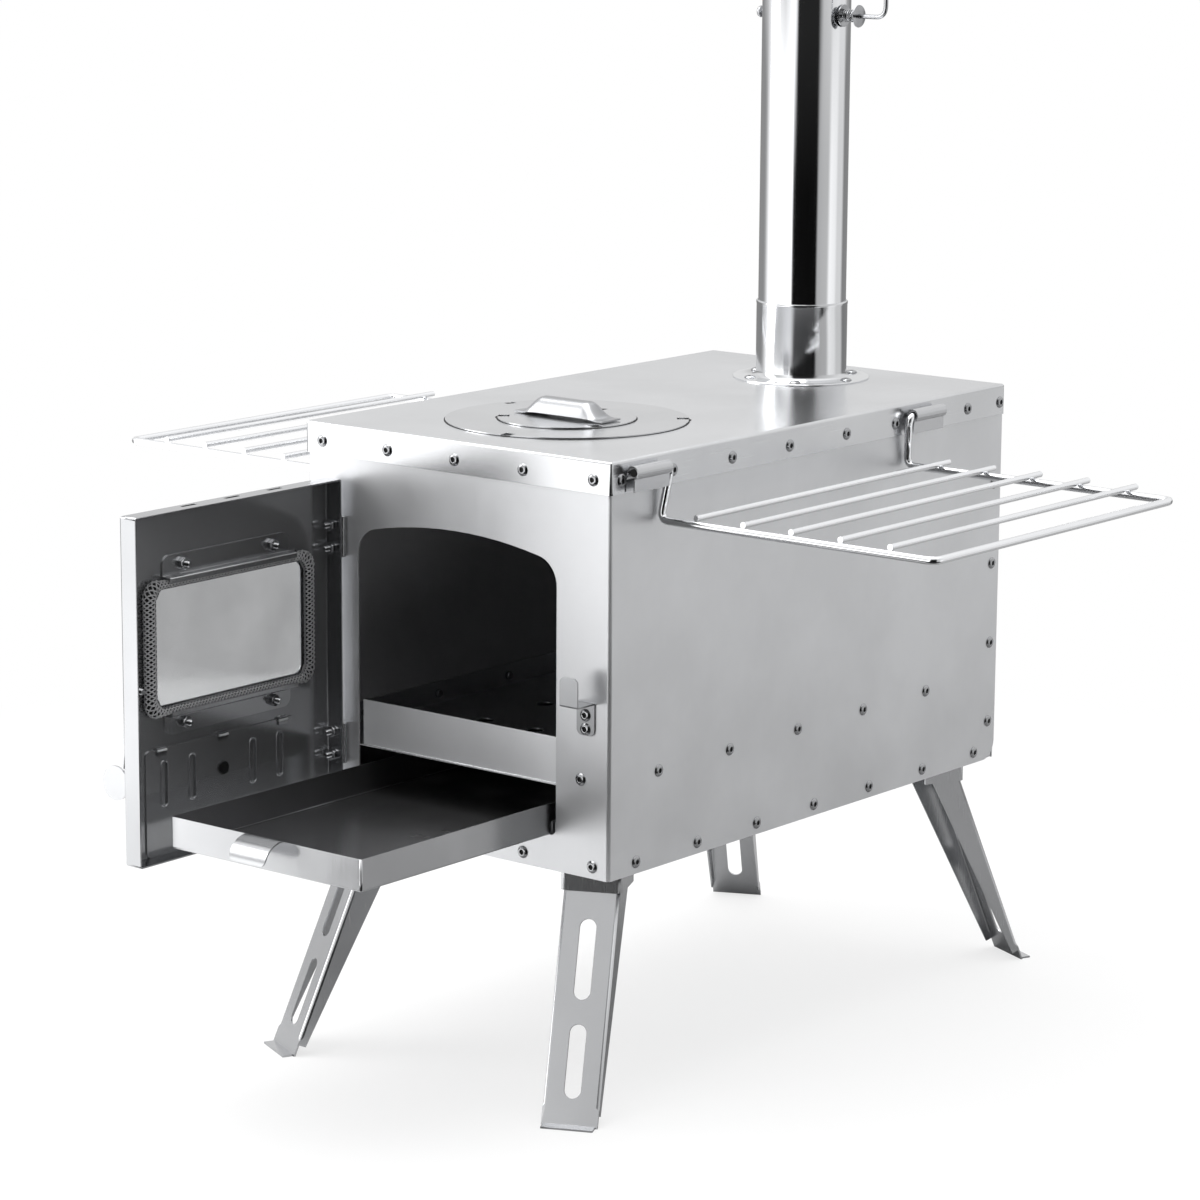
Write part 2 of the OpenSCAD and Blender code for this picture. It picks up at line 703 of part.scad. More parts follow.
module back_panel() at_floor() color("Silver") difference() {
    union() {
        block([-inner_half, inner_back, 0], [inner_half, shell_depth, shell_height]);
        for (s = [-1, 1]) translate([s * (inner_half - sheet / 2), 0, 0])
            block([-sheet / 2, shell_depth - flange, flange + sheet], [sheet / 2, shell_depth, shell_height]);
    }
    at_low_rivets() rivet_hole();
    at_rear_rivets() rivet_hole();
    at_skirt_rivets(0) rivet_hole();
}

module top_plate() at_floor() color("Gainsboro") difference() {
    block([-half_width - sheet, -sheet, skirt_low], [half_width + sheet, shell_depth + sheet, body_height]);
    block([-half_width, 0, skirt_low - cut], [half_width, shell_depth, shell_height]);
    translate([0, hob_y, 0]) cylinder(h = body_height + cut, r = top_hole, $fn = 120);
    translate([0, flue_y, 0]) cylinder(h = body_height + cut, r = pipe_outer - pipe_ledge, $fn = 72);
    at_skirt_rivets(0) rivet_hole();
    at_collar_rivets() rivet_hole();
}

module grate_pan() at_floor() color("DimGray") difference() {
    union() {
        block([-inner_half, sheet, grate_height], [inner_half, shell_depth - flange - sheet,
            grate_height + sheet]);
        for (s = [-1, 1]) {
            translate([s * (inner_half - sheet / 2), 0, 0])
                block([-sheet / 2, sheet, grate_height],
                    [sheet / 2, shell_depth - flange - sheet, grate_height + grate_flange]);
            translate([s * (inner_half + opening_width / 2 + cut) / 2, 0, 0])
                block([-(inner_half - opening_width / 2 - cut) / 2, sheet, grate_height],
                    [(inner_half - opening_width / 2 - cut) / 2, 2 * sheet, grate_height + grate_flange]);
        }
        block([-ember_lip_width / 2, ember_lip_inset, grate_height],
            [ember_lip_width / 2, ember_lip_inset + sheet, grate_height + ember_lip_height]);
    }
    for (i = [-1.5 : 1 : 1.5], j = [0 : 5])
        translate([i * grate_pitch_x, grate_first_row + j * grate_pitch_y, grate_height - cut])
            cylinder(h = 2 * cut + sheet, d = grate_hole, $fn = 12);
    at_grate_rivets() rivet_hole();
    at_leaf_rivets() rivet_hole();
}

// Two folded runners that stand on the bottom pan and carry the drawer.
module drawer_runners() at_floor() color("Silver") {
    inside = drawer_width / 2 + sheet;
    for (s = [0, 1]) mirror([s, 0, 0]) {
        block([inside - runner_shelf, 3 * sheet, opening_bottom - sheet],
            [inside + sheet, inner_back - 2 * sheet, opening_bottom]);
        block([inside, 3 * sheet, sheet], [inside + sheet, inner_back - 2 * sheet, runner_height]);
        block([inside, 3 * sheet, sheet], [inside + runner_foot, inner_back - 2 * sheet, 2 * sheet]);
    }
}

module shell_rivets() at_floor() color("WhiteSmoke") {
    at_low_rivets() rivet();
    at_grate_rivets() rivet();
    at_rear_rivets() rivet();
}

module skirt_rivets() at_floor() color("WhiteSmoke") at_skirt_rivets(sheet) rivet();

// Bent strip with a ledge and an upright tab; the lever drops in behind the tab.
module door_catch() at_floor() color("Gainsboro") difference() {
    low = catch_x - catch_width / 2;
    high = catch_x + catch_width / 2;
    union() {
        face(-sheet, 0) {
            round_rect([low, catch_bottom], [high, catch_ledge], catch_corner);
            translate([low, catch_ledge - catch_corner]) square([catch_width, catch_corner + sheet]);
        }
        block([low, -catch_reach, catch_ledge], [high, 0, catch_ledge + sheet]);
        face(-catch_reach, sheet - catch_reach) {
            round_rect([low, catch_ledge], [high, catch_top], catch_corner);
            translate([low, catch_ledge]) square([catch_width, catch_corner]);
        }
    }
    at_catch_rivets() rivet_hole();
}

module catch_rivets() at_floor() color("WhiteSmoke") at_catch_rivets() rivet();

module flue_collar() at_floor() color("Gainsboro") difference() {
    translate([0, flue_y, body_height]) {
        cylinder(h = sheet, d = collar_flange, $fn = 96);
        cylinder(h = collar_height, r = collar_outer, $fn = 72);
    }
    translate([0, flue_y, body_height - cut])
        cylinder(h = collar_height + 2 * cut, r = collar_inner, $fn = 72);
    at_collar_rivets() rivet_hole();
}

module collar_rivets() at_floor() color("WhiteSmoke") at_collar_rivets() rivet();

// One knuckle of a hinge round the vertical axis at the origin.
module knuckle_tube(low, high) {
    translate([0, 0, low]) cylinder(h = high - low, d = barrel_diameter, $fn = 24);
}

module knuckle_bore() {
    translate([0, 0, -hinge_length])
        cylinder(h = 2 * hinge_length, d = hinge_pin + 2 * running_gap, $fn = 24);
}

module hinge_body_leaves() at_floor() color("Gainsboro") difference() {
    for (z = [hinge_low, hinge_high]) translate([-hinge_x, -hinge_y, z]) difference() {
        union() {
            block([-leaf_width, hinge_y - sheet, -hinge_length / 2], [0, hinge_y, hinge_length / 2]);
            for (s = [0, 1]) mirror([0, 0, s]) knuckle_tube(knuckle / 2, hinge_length / 2);
        }
        block([-leaf_clear, -hinge_y, -knuckle / 2], [leaf_clear, 2 * hinge_y, knuckle / 2]);
        knuckle_bore();
    }
    at_leaf_rivets() rivet_hole();
}

module hinge_rivets() at_floor() color("WhiteSmoke") at_leaf_rivets() rivet();

module hinge_pins() at_floor() color("Silver") {
    for (z = [hinge_low, hinge_high]) translate([-hinge_x, -hinge_y, z - hinge_length / 2])
        cylinder(h = hinge_length, d = hinge_pin, $fn = 24);
}

module rack_bracket(y) {
    translate([rack_pivot_x, y, rack_pivot_z]) difference() {
        union() {
            rotate([-90, 0, 0]) cylinder(h = tube_length, d = tube_diameter, $fn = 32);
            block([half_width + sheet - rack_pivot_x, 2 * sheet, tube_diameter / 2 - sheet],
                [0, tube_length - 2 * sheet, tube_diameter / 2]);
            block([half_width + sheet - rack_pivot_x, 2 * sheet, skirt_low - rack_pivot_z],
                [half_width + 2 * sheet - rack_pivot_x, tube_length - 2 * sheet, tube_diameter / 2]);
        }
        translate([0, -cut, 0]) rotate([-90, 0, 0])
            cylinder(h = tube_length + 2 * cut, r = tube_bore, $fn = 24);
    }
}

module rack_brackets() at_floor() color("Gainsboro") {
    for (s = [0, 1]) mirror([s, 0, 0]) {
        rack_bracket(tube_front);
        rack_bracket(tube_rear);
    }
}

// Repeats a front right part at the four corners of the body.
module corner(right, front) {
    mirror([right ? 0 : 1, 0, 0]) translate([0, front ? 0 : shell_depth, 0])
        mirror([0, front ? 0 : 1, 0]) children();
}

// Places a part on the pivot of the front right leg: x along the pin, y towards the stove.
module at_leg() {
    translate([leg_pivot_x, leg_pivot_y, -leg_pivot_depth]) rotate([0, 0, leg_turn]) children();
}

module leg_pin_at(d, length) {
    translate([-length / 2, 0, 0]) rotate([0, 90, 0]) cylinder(h = length, d = d, $fn = 24);
}

// Channels whose outer end is folded down: the leg's web comes to rest against that end.
module leg_brackets() at_floor() color("Silver") {
    for (right = [true, false], front = [true, false]) corner(right, front) at_leg() difference() {
        half = bracket_width / 2;
        top = leg_pivot_depth;
        block([-half, -bracket_lead, top - bracket_depth], [half, bracket_length - bracket_lead, top]);
        block([sheet - half, sheet - bracket_lead, top - bracket_depth - cut],
            [half - sheet, bracket_length, top - sheet]);
        leg_pin_at(leg_pin + 2 * running_gap, 2 * bracket_width);
    }
}

module leg_pins() at_floor() color("Silver") {
    for (right = [true, false], front = [true, false]) corner(right, front) at_leg()
        leg_pin_at(leg_pin, bracket_width);
}

// Tab lanced from the door that holds the shutter's upper edge.
module shutter_tab(u) {
    top = shutter_top + rivet_gap;
    block([u - guide_tab / 2, door_inner - sheet / 2, top],
        [u + guide_tab / 2, door_inner + 2 * sheet + rivet_gap, top + sheet]);
    block([u - guide_tab / 2, door_inner + sheet + rivet_gap, top - 4 * sheet],
        [u + guide_tab / 2, door_inner + 2 * sheet + rivet_gap, top + sheet]);
}

module at_clamp_bolts() {
    for (a = [-1, 1], b = [-1, 1])
        translate([window_u + a * clamp_bolt_pitch / 2, -door_face, window_z + b * clamp_bolt_z])
            rotate([-90, 0, 0]) children();
}

module at_hinge_bolts() {
    for (z = [hinge_low, hinge_high], s = [-1, 1])
        translate([leaf_u, leaf_bolt_w, z + s * leaf_pitch / 2]) rotate([0, 90, 0]) children();
}

module at_latch_bolt() {
    translate([latch_u, -door_face, latch_z]) rotate([-90, 0, 0]) children();
}

// Bolt with its head below z = 0 and its shank upwards through the stack.
module bolt(stack) {
    translate([0, 0, -bolt_rise]) cylinder(h = bolt_rise, d = bolt_head, $fn = 12);
    cylinder(h = stack + nut_height + thread_tip, d = bolt_diameter - 2 * rivet_gap, $fn = 12);
}

module nut(stack) {
    translate([0, 0, stack]) difference() {
        cylinder(h = nut_height, d = nut_width, $fn = 6);
        translate([0, 0, -cut]) cylinder(h = nut_height + 2 * cut, d = bolt_diameter, $fn = 12);
    }
}

module bolt_hole() {
    translate([0, 0, -cut]) cylinder(h = 3 * cut, d = bolt_diameter + 2 * rivet_gap, $fn = 12);
}

module at_air_slots(shift) {
    for (u = [-air_slot_outer, -air_slot_inner, air_slot_inner, air_slot_outer])
        slot([shutter_u + u + shift, air_slot_low + air_slot_width / 2],
            [shutter_u + u + shift, air_slot_high - air_slot_width / 2], air_slot_width);
}

module door_pan() in_door() color("Gainsboro") difference() {
    union() {
        difference() {
            block([door_gap, -door_face, door_bottom], [door_free, door_lip, door_top]);
            block([door_gap + sheet, door_inner, door_bottom + sheet],
                [door_free - sheet, door_lip + cut, door_top - sheet]);
        }
        for (i = [-2, 0, 2]) shutter_tab(shutter_u + i * air_slot_inner);
    }
    face(-door_face - cut, door_inner + cut) {
        round_rect([window_u - window_width / 2, window_z - window_height / 2],
            [window_u + window_width / 2, window_z + window_height / 2], window_corner);
    }
    face(-door_face - cut, door_inner + sheet / 4) {
        at_air_slots(shutter_travel);
        slot([shutter_u, knob_height], [shutter_u + shutter_travel, knob_height], knob_screw + sheet);
    }
    for (i = [-1 : 1]) translate([door_middle + i * vent_pitch, -door_face / 2, door_top])
        block([-vent_length / 2, -vent_width / 2, -cut], [vent_length / 2, vent_width / 2, cut]);
    at_clamp_bolts() bolt_hole();
    at_hinge_bolts() bolt_hole();
    at_latch_bolt() bolt_hole();
}

module hinge_door_leaves() in_door() color("Gainsboro") difference() {
    for (z = [hinge_low, hinge_high]) translate([0, 0, z]) difference() {
        union() {
            block([leaf_u, sheet - door_face, -hinge_length / 2], [door_gap, -leaf_clear, hinge_length / 2]);
            block([leaf_u, sheet - door_face, knuckle_gap - knuckle / 2],
                [door_gap, 0, knuckle / 2 - knuckle_gap]);
            knuckle_tube(knuckle_gap - knuckle / 2, knuckle / 2 - knuckle_gap);
        }
        knuckle_bore();
    }
    at_hinge_bolts() bolt_hole();
}

module hinge_bolts() in_door() color("WhiteSmoke") at_hinge_bolts() bolt(2 * sheet);

module hinge_nuts() in_door() color("WhiteSmoke") at_hinge_bolts() nut(2 * sheet);

module window_glass() in_door() color("LightGray")
    face(door_inner + gasket_layer, door_inner + gasket_layer + glass_thickness)
        round_rect([window_u - glass_half_u + glass_gap, window_z - glass_half_z + glass_gap],
            [window_u + glass_half_u - glass_gap, window_z + glass_half_z - glass_gap], window_corner);

// Woven tape folded round the edge of the glass.
module window_gasket() in_door() color("DarkSlateGray") difference() {
    face(door_inner, door_inner + gasket_thickness)
        round_rect([window_u - gasket_half_u, window_z - gasket_half_z],
            [window_u + gasket_half_u, window_z + gasket_half_z], window_corner + gasket_width);
    face(door_inner - cut, door_inner + gasket_thickness + cut)
        round_rect([window_u - window_width / 2, window_z - window_height / 2],
            [window_u + window_width / 2, window_z + window_height / 2], window_corner);
    face(door_inner + gasket_layer, door_inner + gasket_layer + glass_thickness)
        round_rect([window_u - glass_half_u, window_z - glass_half_z],
            [window_u + glass_half_u, window_z + glass_half_z], window_corner + glass_gap);
}

// Strip folded twice: its foot is bolted to the door and its lip holds the gasket.
module window_clamp() {
    half = clamp_length / 2;
    top = door_inner + gasket_thickness;
    difference() {
        union() {
            translate([window_u, 0, 0]) {
                block([-half, door_inner, clamp_riser], [half, top + sheet, clamp_riser + sheet]);
                block([-half, top, clamp_riser - clamp_reach], [half, top + sheet, clamp_riser + sheet]);
                face(door_inner, door_inner + sheet) {
                    round_rect([-half, clamp_riser],
                        [half, clamp_riser + sheet + clamp_foot], clamp_foot / 2);
                    translate([-half, clamp_riser]) square([clamp_length, clamp_foot / 2]);
                }
            }
        }
        for (a = [-1, 1]) translate([window_u + a * clamp_bolt_pitch / 2, -door_face, clamp_bolt_z])
            rotate([-90, 0, 0]) bolt_hole();
    }
}

module upper_window_clamp() in_door() color("Gainsboro") translate([0, 0, window_z]) window_clamp();

module lower_window_clamp() in_door() color("Gainsboro")
    translate([0, 0, window_z]) mirror([0, 0, 1]) window_clamp();

module clamp_bolts() in_door() color("WhiteSmoke") at_clamp_bolts() bolt(2 * sheet);

module clamp_nuts() in_door() color("WhiteSmoke") at_clamp_bolts() nut(2 * sheet);

module latch_bolt() in_door() color("WhiteSmoke") {
    at_latch_bolt() translate([0, 0, -lever_sheet - bolt_rise])
        cylinder(h = bolt_rise, d = bolt_head, $fn = 24);
    at_latch_bolt() translate([0, 0, -lever_sheet])
        cylinder(h = lever_sheet + sheet + nut_height + thread_tip,
            d = bolt_diameter - 2 * rivet_gap, $fn = 24);
}

module latch_nut() in_door() color("WhiteSmoke") at_latch_bolt() nut(sheet);

// Flat lever that hangs on its bolt, with a round paddle folded square to it.
module latch_lever() in_door() color("Gainsboro") difference() {
    union() {
        translate([latch_u, lever_w + lever_sheet, latch_z]) rotate([90, 0, 0]) linear_extrude(lever_sheet)
            rotate(latch_hang) {
                circle(lever_width / 2, $fn = 32);
                translate([-lever_width / 2, paddle_diameter / 2 - latch_reach])
                    square([lever_width, latch_reach - paddle_diameter / 2]);
            }
        block([paddle_u - lever_width / 2, lever_w, paddle_z],
            [paddle_u + lever_sheet / 2, -door_face, paddle_z + paddle_diameter * 0.6]);
        translate([paddle_u - lever_sheet / 2, -door_face - paddle_diameter / 2, paddle_z])
            rotate([0, 90, 0]) cylinder(h = lever_sheet, d = paddle_diameter, $fn = 48);
    }
    at_latch_bolt() translate([0, 0, -lever_sheet - cut])
        cylinder(h = lever_sheet + 2 * cut, d = bolt_diameter - 2 * rivet_gap + 3 * running_gap, $fn = 24);
}

module air_shutter() in_door() color("Gainsboro") difference() {
    face(door_inner, door_inner + sheet) difference() {
        round_rect([shutter_u - shutter_width / 2, door_bottom + sheet],
            [shutter_u + shutter_width / 2, shutter_top], sill_corner);
        at_air_slots(0);
        translate([shutter_u, knob_height]) circle(knob_screw / 2, $fn = 24);
    }
}

module shutter_knob() in_door() color("DimGray") translate([shutter_u, 0, knob_height]) {
    face(-door_face - knob_length - rivet_gap, -door_face - rivet_gap) circle(knob_diameter / 2, $fn = 32);
    face(-door_face - sheet, door_inner + 2 * sheet) circle(knob_screw / 2 - rivet_gap / 2, $fn = 24);
    face(door_inner + sheet, door_inner + 2 * sheet + sheet / 2) circle(knob_screw, $fn = 24);
}

module ash_drawer() at_floor() color("DimGray") difference() {
    half = drawer_width / 2;
    low = opening_bottom;
    block([-half, -drawer_out, low], [half, drawer_length - drawer_out, low + drawer_height]);
    block([drawer_sheet - half, drawer_sheet - drawer_out, low + drawer_sheet],
        [half - drawer_sheet, drawer_length - drawer_out - drawer_sheet, low + drawer_height + cut]);
}

// Pull bent from strip: a tongue that leaves the drawer's rim in an S, on a plate behind it.
module drawer_pull() at_floor() color("Gainsboro") {
    half = pull_width / 2;
    front = -drawer_out;
    top = opening_bottom + drawer_height;
    slope = 1 / sqrt(2);
    side_face(-half, half) polygon(concat(
        [for (s = pull_shares) [front - s[0] * pull_reach, top - s[1] * pull_drop]],
        [for (i = [1 : len(pull_shares)]) let (s = pull_shares[len(pull_shares) - i])
            [front - s[0] * (pull_reach - slope * sheet), top - s[1] * pull_drop - slope * sheet]]
    ));
    block([-half, front - sheet, top - pull_drop / 2], [half, front, top - sheet / 2]);
}

module hob_disc(outer, seat, turn) {
    difference() {
        cylinder(h = hob_plate, r = outer, $fn = 120);
        for (i = [0 : 2]) rotate(turn + 120 * i)
            block([seat - hob_play, -hob_tab / 2, -cut], [outer + cut, hob_tab / 2, cut + hob_plate]);
    }
    for (i = [0 : 2]) rotate(turn + 120 * i)
        block([seat - hob_play - hob_plate, -hob_tab / 2, -hob_tab_depth],
            [seat - hob_play, hob_tab / 2, hob_plate]);
}

module hob_ring() at_floor() color("Gainsboro") translate([0, hob_y, body_height]) difference() {
    hob_disc(ring_outer, top_hole, 40);
    translate([0, 0, -cut]) cylinder(h = hob_plate + 2 * cut, r = ring_hole, $fn = 96);
}

module hob_lid() at_floor() color("Gainsboro") translate([0, hob_y, ring_top])
    hob_disc(lid_outer, ring_hole, 95);

module lid_handle() at_floor() color("Gainsboro") translate([0, hob_y, lid_top]) {
    end = lid_handle_length / 2;
    knee = end - lid_handle_foot;
    grip = lid_grip_length / 2;
    face(-lid_handle_width / 2, lid_handle_width / 2) polygon([
        [-end, 0], [-end, sheet], [-knee - sheet, sheet], [-grip - sheet, lid_handle_rise],
        [grip + sheet, lid_handle_rise], [knee + sheet, sheet], [end, sheet], [end, 0],
        [knee, 0], [grip, lid_handle_rise - sheet], [-grip, lid_handle_rise - sheet], [-knee, 0]
    ]);
}

module flue_pipe() at_floor() color("Gainsboro") translate([0, flue_y, body_height]) difference() {
    union() {
        cylinder(h = pipe_length - spigot_length, r = pipe_outer, $fn = 96);
        cylinder(h = pipe_length, r = spigot_outer, $fn = 96);
    }
    translate([0, 0, -cut])
        cylinder(h = pipe_length - spigot_length + cut - pipe_wall, r = pipe_inner, $fn = 96);
    translate([0, 0, -cut]) cylinder(h = pipe_length + 2 * cut, r = spigot_outer - pipe_wall, $fn = 96);
    translate([-pipe_diameter, 0, damper_height]) rotate([0, 90, 0])
        cylinder(h = 2 * pipe_diameter, d = damper_wire + 2 * running_gap, $fn = 24);
}

// Frame of the damper: the origin lies where its shaft crosses the flue's axis.
module at_damper() {
    at_floor() translate([0, flue_y, damper_z]) children();
}

module damper_shaft() at_damper() color("Silver") {
    bend_x = handle_reach - handle_bend;
    translate([-button_reach, 0, 0]) rotate([0, 90, 0]) {
        cylinder(h = button_reach + bend_x, d = damper_wire, $fn = 24);
        cylinder(h = button_thickness, d = button_diameter, $fn = 32);
    }
    translate([bend_x, 0, handle_bend]) rotate([90, 0, 0]) rotate([0, 0, -90])
        rotate_extrude(angle = 90, $fn = 48) translate([handle_bend, 0]) circle(d = damper_wire, $fn = 24);
    translate([handle_reach, 0, handle_bend])
        cylinder(h = handle_rise - handle_bend, d = damper_wire, $fn = 24);
}

module damper_disc() at_damper() color("Gainsboro")
    face(damper_wire / 2, damper_wire / 2 + sheet) circle(pipe_inner - damper_gap, $fn = 72);

module damper_washers() at_damper() color("Silver") {
    for (x = [washer_start, spring_end]) translate([x, 0, 0]) rotate([0, 90, 0]) difference() {
        cylinder(h = washer_thickness, d = washer_diameter, $fn = 32);
        translate([0, 0, -cut])
            cylinder(h = washer_thickness + 2 * cut, d = damper_wire + 2 * running_gap, $fn = 24);
    }
}

// The spring is the piece that takes most skill: one unbroken tube along a helix.
spring_rings = 8 * spring_turns;
spring_sides = 6;
function spring_point(i) = [
    spring_start + spring_wire / 2 + coil_pitch * i / 8,
    coil_radius * cos(45 * i),
    coil_radius * sin(45 * i)
];
function spring_rim(i, j) =
    let (out = [0, cos(45 * i), sin(45 * i)], a = 360 * j / spring_sides)
    spring_point(i) + spring_wire / 2 * (cos(a) * out + sin(a) * [1, 0, 0]);
spring_rim_points = [for (i = [0 : spring_rings], j = [0 : spring_sides - 1]) spring_rim(i, j)];
spring_gap = min([for (i = [0 : spring_rings], k = [i + 6 : spring_rings])
    norm(spring_point(i) - spring_point(k)) - spring_wire]);
echo("least gap of the spring to itself", spring_gap);

module damper_spring() at_damper() color("Silver") {
    n = spring_sides;
    sides = [for (i = [0 : spring_rings - 1], j = [0 : n - 1], half = [0, 1])
        let (a = i * n + j, b = i * n + (j + 1) % n)
        half == 0 ? [a, b, b + n] : [a, b + n, a + n]];
    near = [for (j = [1 : n - 2]) [0, j + 1, j]];
    last = spring_rings * n;
    far = [for (j = [1 : n - 2]) [last, last + j, last + j + 1]];
    polyhedron(spring_rim_points, concat(sides, near, far));
}

// Channel with tapering flanges and a foot, hung on its pivot and leaning outwards.
module leg() {
    half = leg_width / 2;
    floor_z = -leg_drop;
    toe = flange_lift - leg_run;
    root = leg_boss - leg_sheet / 3;
    foot_inner = leg_sheet - foot_out + foot_length;
    difference() {
        union() {
            rotate([-leg_lean, 0, 0]) difference() {
                union() {
                    block([-half, -leg_web, -leg_run - leg_web], [half, leg_sheet - leg_web, leg_stop]);
                    for (s = [-1, 1]) translate([s * (half - leg_sheet / 2), 0, 0]) {
                        side_face(-leg_sheet / 2, leg_sheet / 2) polygon([
                            [-leg_web, leg_stop], [-leg_web, toe], [leg_toe - leg_web, toe],
                            [root, 0], [0, root]
                        ]);
                        translate([-leg_sheet / 2, 0, 0]) rotate([0, 90, 0])
                            cylinder(h = leg_sheet, r = leg_boss, $fn = 32);
                    }
                }
                face(-leg_web - leg_sheet, 0) {
                    for (share = slot_shares)
                        slot([0, leg_slot / 2 - share[1] * leg_run], [0, -share[0] * leg_run - leg_slot / 2],
                            leg_slot);
                }
                leg_pin_at(leg_pin + 2 * running_gap, 2 * leg_width);
            }
            block([foot_inset - half, -foot_out, floor_z - leg_sheet],
                [half - foot_inset, foot_inner, floor_z + leg_sheet]);
        }
        block([-leg_width, -2 * foot_out, floor_z - 2 * leg_web], [leg_width, foot_out, floor_z]);
    }
}

module leg_front_right() at_floor() color("Silver") corner(true, true) at_leg() leg();

module leg_front_left() at_floor() color("Silver") corner(false, true) at_leg() leg();

module leg_rear_right() at_floor() color("Silver") corner(true, false) at_leg() leg();

module leg_rear_left() at_floor() color("Silver") corner(false, false) at_leg() leg();

// Rack bent from wire, with five rods welded across its arms.
module rack() {
    points = [
        [rack_pivot_x, front_pin_y - pin_show - rack_pin, rack_pivot_z],
        [rack_pivot_x, front_pin_y, rack_pivot_z],
        [rack_lower_x, rack_front, rack_height],
        [rack_reach, rack_front, rack_height],
        [rack_reach, rack_rear, rack_height],
        [rack_lower_x, rack_rear, rack_height],
        [rack_pivot_x, rear_pin_y, rack_pivot_z],
        [rack_pivot_x, rear_pin_y + pin_show + rack_pin, rack_pivot_z]
    ];
    for (i = [0 : 6]) wire(points[i], points[i + 1], rack_wire);
    for (i = [1 : 6]) ball(points[i], rack_wire + rod_weld / 2);
    for (share = rod_shares) {
        x = rack_pivot_x + share * rack_width;
        wire([x, rack_front + rod_start, rod_z], [x, rack_rear + rod_over, rod_z], rack_rod);
    }
}

module rack_right() at_floor() color("Silver") rack();

module rack_left() at_floor() color("Silver") mirror([1, 0, 0]) rack();

body_shell();
bottom_pan();
back_panel();
top_plate();
grate_pan();
drawer_runners();
shell_rivets();
skirt_rivets();
door_catch();
catch_rivets();
flue_collar();
collar_rivets();
hinge_body_leaves();
hinge_rivets();
hinge_pins();
rack_brackets();
leg_brackets();
leg_pins();
door_pan();
hinge_door_leaves();
hinge_bolts();
hinge_nuts();
window_glass();
window_gasket();
upper_window_clamp();
lower_window_clamp();
clamp_bolts();
clamp_nuts();
latch_bolt();
latch_nut();
latch_lever();
air_shutter();
shutter_knob();
ash_drawer();
drawer_pull();
hob_ring();
hob_lid();
lid_handle();
flue_pipe();
damper_shaft();
damper_disc();
damper_washers();
damper_spring();
leg_front_right();
leg_front_left();
leg_rear_right();
leg_rear_left();
rack_right();
rack_left();
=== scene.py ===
import json
import math

import bmesh
import bpy
from mathutils import Matrix, Vector

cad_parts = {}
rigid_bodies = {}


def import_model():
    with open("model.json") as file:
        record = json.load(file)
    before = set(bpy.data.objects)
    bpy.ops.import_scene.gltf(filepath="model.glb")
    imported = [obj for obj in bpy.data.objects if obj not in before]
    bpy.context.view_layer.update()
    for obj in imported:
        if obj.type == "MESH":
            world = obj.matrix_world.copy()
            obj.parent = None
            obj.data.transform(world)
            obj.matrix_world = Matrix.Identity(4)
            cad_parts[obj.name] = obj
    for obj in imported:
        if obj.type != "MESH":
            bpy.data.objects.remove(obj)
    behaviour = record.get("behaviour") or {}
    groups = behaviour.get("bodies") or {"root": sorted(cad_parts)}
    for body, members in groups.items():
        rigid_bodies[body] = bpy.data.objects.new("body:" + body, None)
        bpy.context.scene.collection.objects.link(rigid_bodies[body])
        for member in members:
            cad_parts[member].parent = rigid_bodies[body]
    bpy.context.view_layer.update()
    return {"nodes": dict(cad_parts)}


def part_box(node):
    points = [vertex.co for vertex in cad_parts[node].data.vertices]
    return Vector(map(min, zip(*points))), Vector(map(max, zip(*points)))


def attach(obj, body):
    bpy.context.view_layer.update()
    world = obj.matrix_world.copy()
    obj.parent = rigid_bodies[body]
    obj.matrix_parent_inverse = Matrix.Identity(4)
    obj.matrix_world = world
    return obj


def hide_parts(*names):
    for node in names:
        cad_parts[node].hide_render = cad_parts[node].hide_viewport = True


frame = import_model()
nodes = frame["nodes"]
MM = 0.001
WELD = 0.002  # Points nearer than this, in millimetres, are one.
X, Y, Z = Vector((1, 0, 0)), Vector((0, 1, 0)), Vector((0, 0, 1))

# Landmarks of the stove, read from its CAD nodes.
shell_low, shell_high = (Vector(v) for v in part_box("body_shell"))
front = shell_low.y
bottom = shell_low.z
BODY = {node: nodes[node].parent.name.split(":")[1] for node in nodes}

# Places in the millimetres that at() takes, as the CAD source has them.
HOB_Y = 109  # middle of the cooking ring and its lid
FLUE_Y = 362  # middle of the pipe
DAMPER_Z = 508  # damper shaft
RACK_X, RACK_Z = 130.6, 253.5  # pin line of a side rack
SHUTTER_Y = -2.6 - 101.05  # middle of the air shutter, out from the door's hinge line


def at(x, y, z):
    """A point from millimetres right of, behind and above the middle of the body's lower front edge."""
    return Vector((x * MM, front + y * MM, bottom + z * MM))


def linear(code):
    """sRGB hex colour as linear red, green, blue and alpha."""
    parts = [int(code[i:i + 2], 16) / 255 for i in (1, 3, 5)]
    return [c / 12.92 if c <= 0.04045 else ((c + 0.055) / 1.055) ** 2.4 for c in parts] + [1.0]


def add(tree, kind, inputs=None, stops=None, **settings):
    """Adds a node with its settings, its values and its links."""
    node = tree.nodes.new(kind)
    for key, value in settings.items():
        setattr(node, key, value)
    for i, (place, colour) in enumerate(stops or []):
        element = node.color_ramp.elements[i] if i < 2 else node.color_ramp.elements.new(place)
        element.position = place
        element.color = colour
    for key, value in (inputs or {}).items():
        if isinstance(value, bpy.types.NodeSocket):
            tree.links.new(value, node.inputs[key])
        else:
            node.inputs[key].default_value = value
    return node


def blank_material(name):
    mat = bpy.data.materials.new(name)
    mat.use_nodes = True
    mat.node_tree.nodes.clear()
    return mat, mat.node_tree


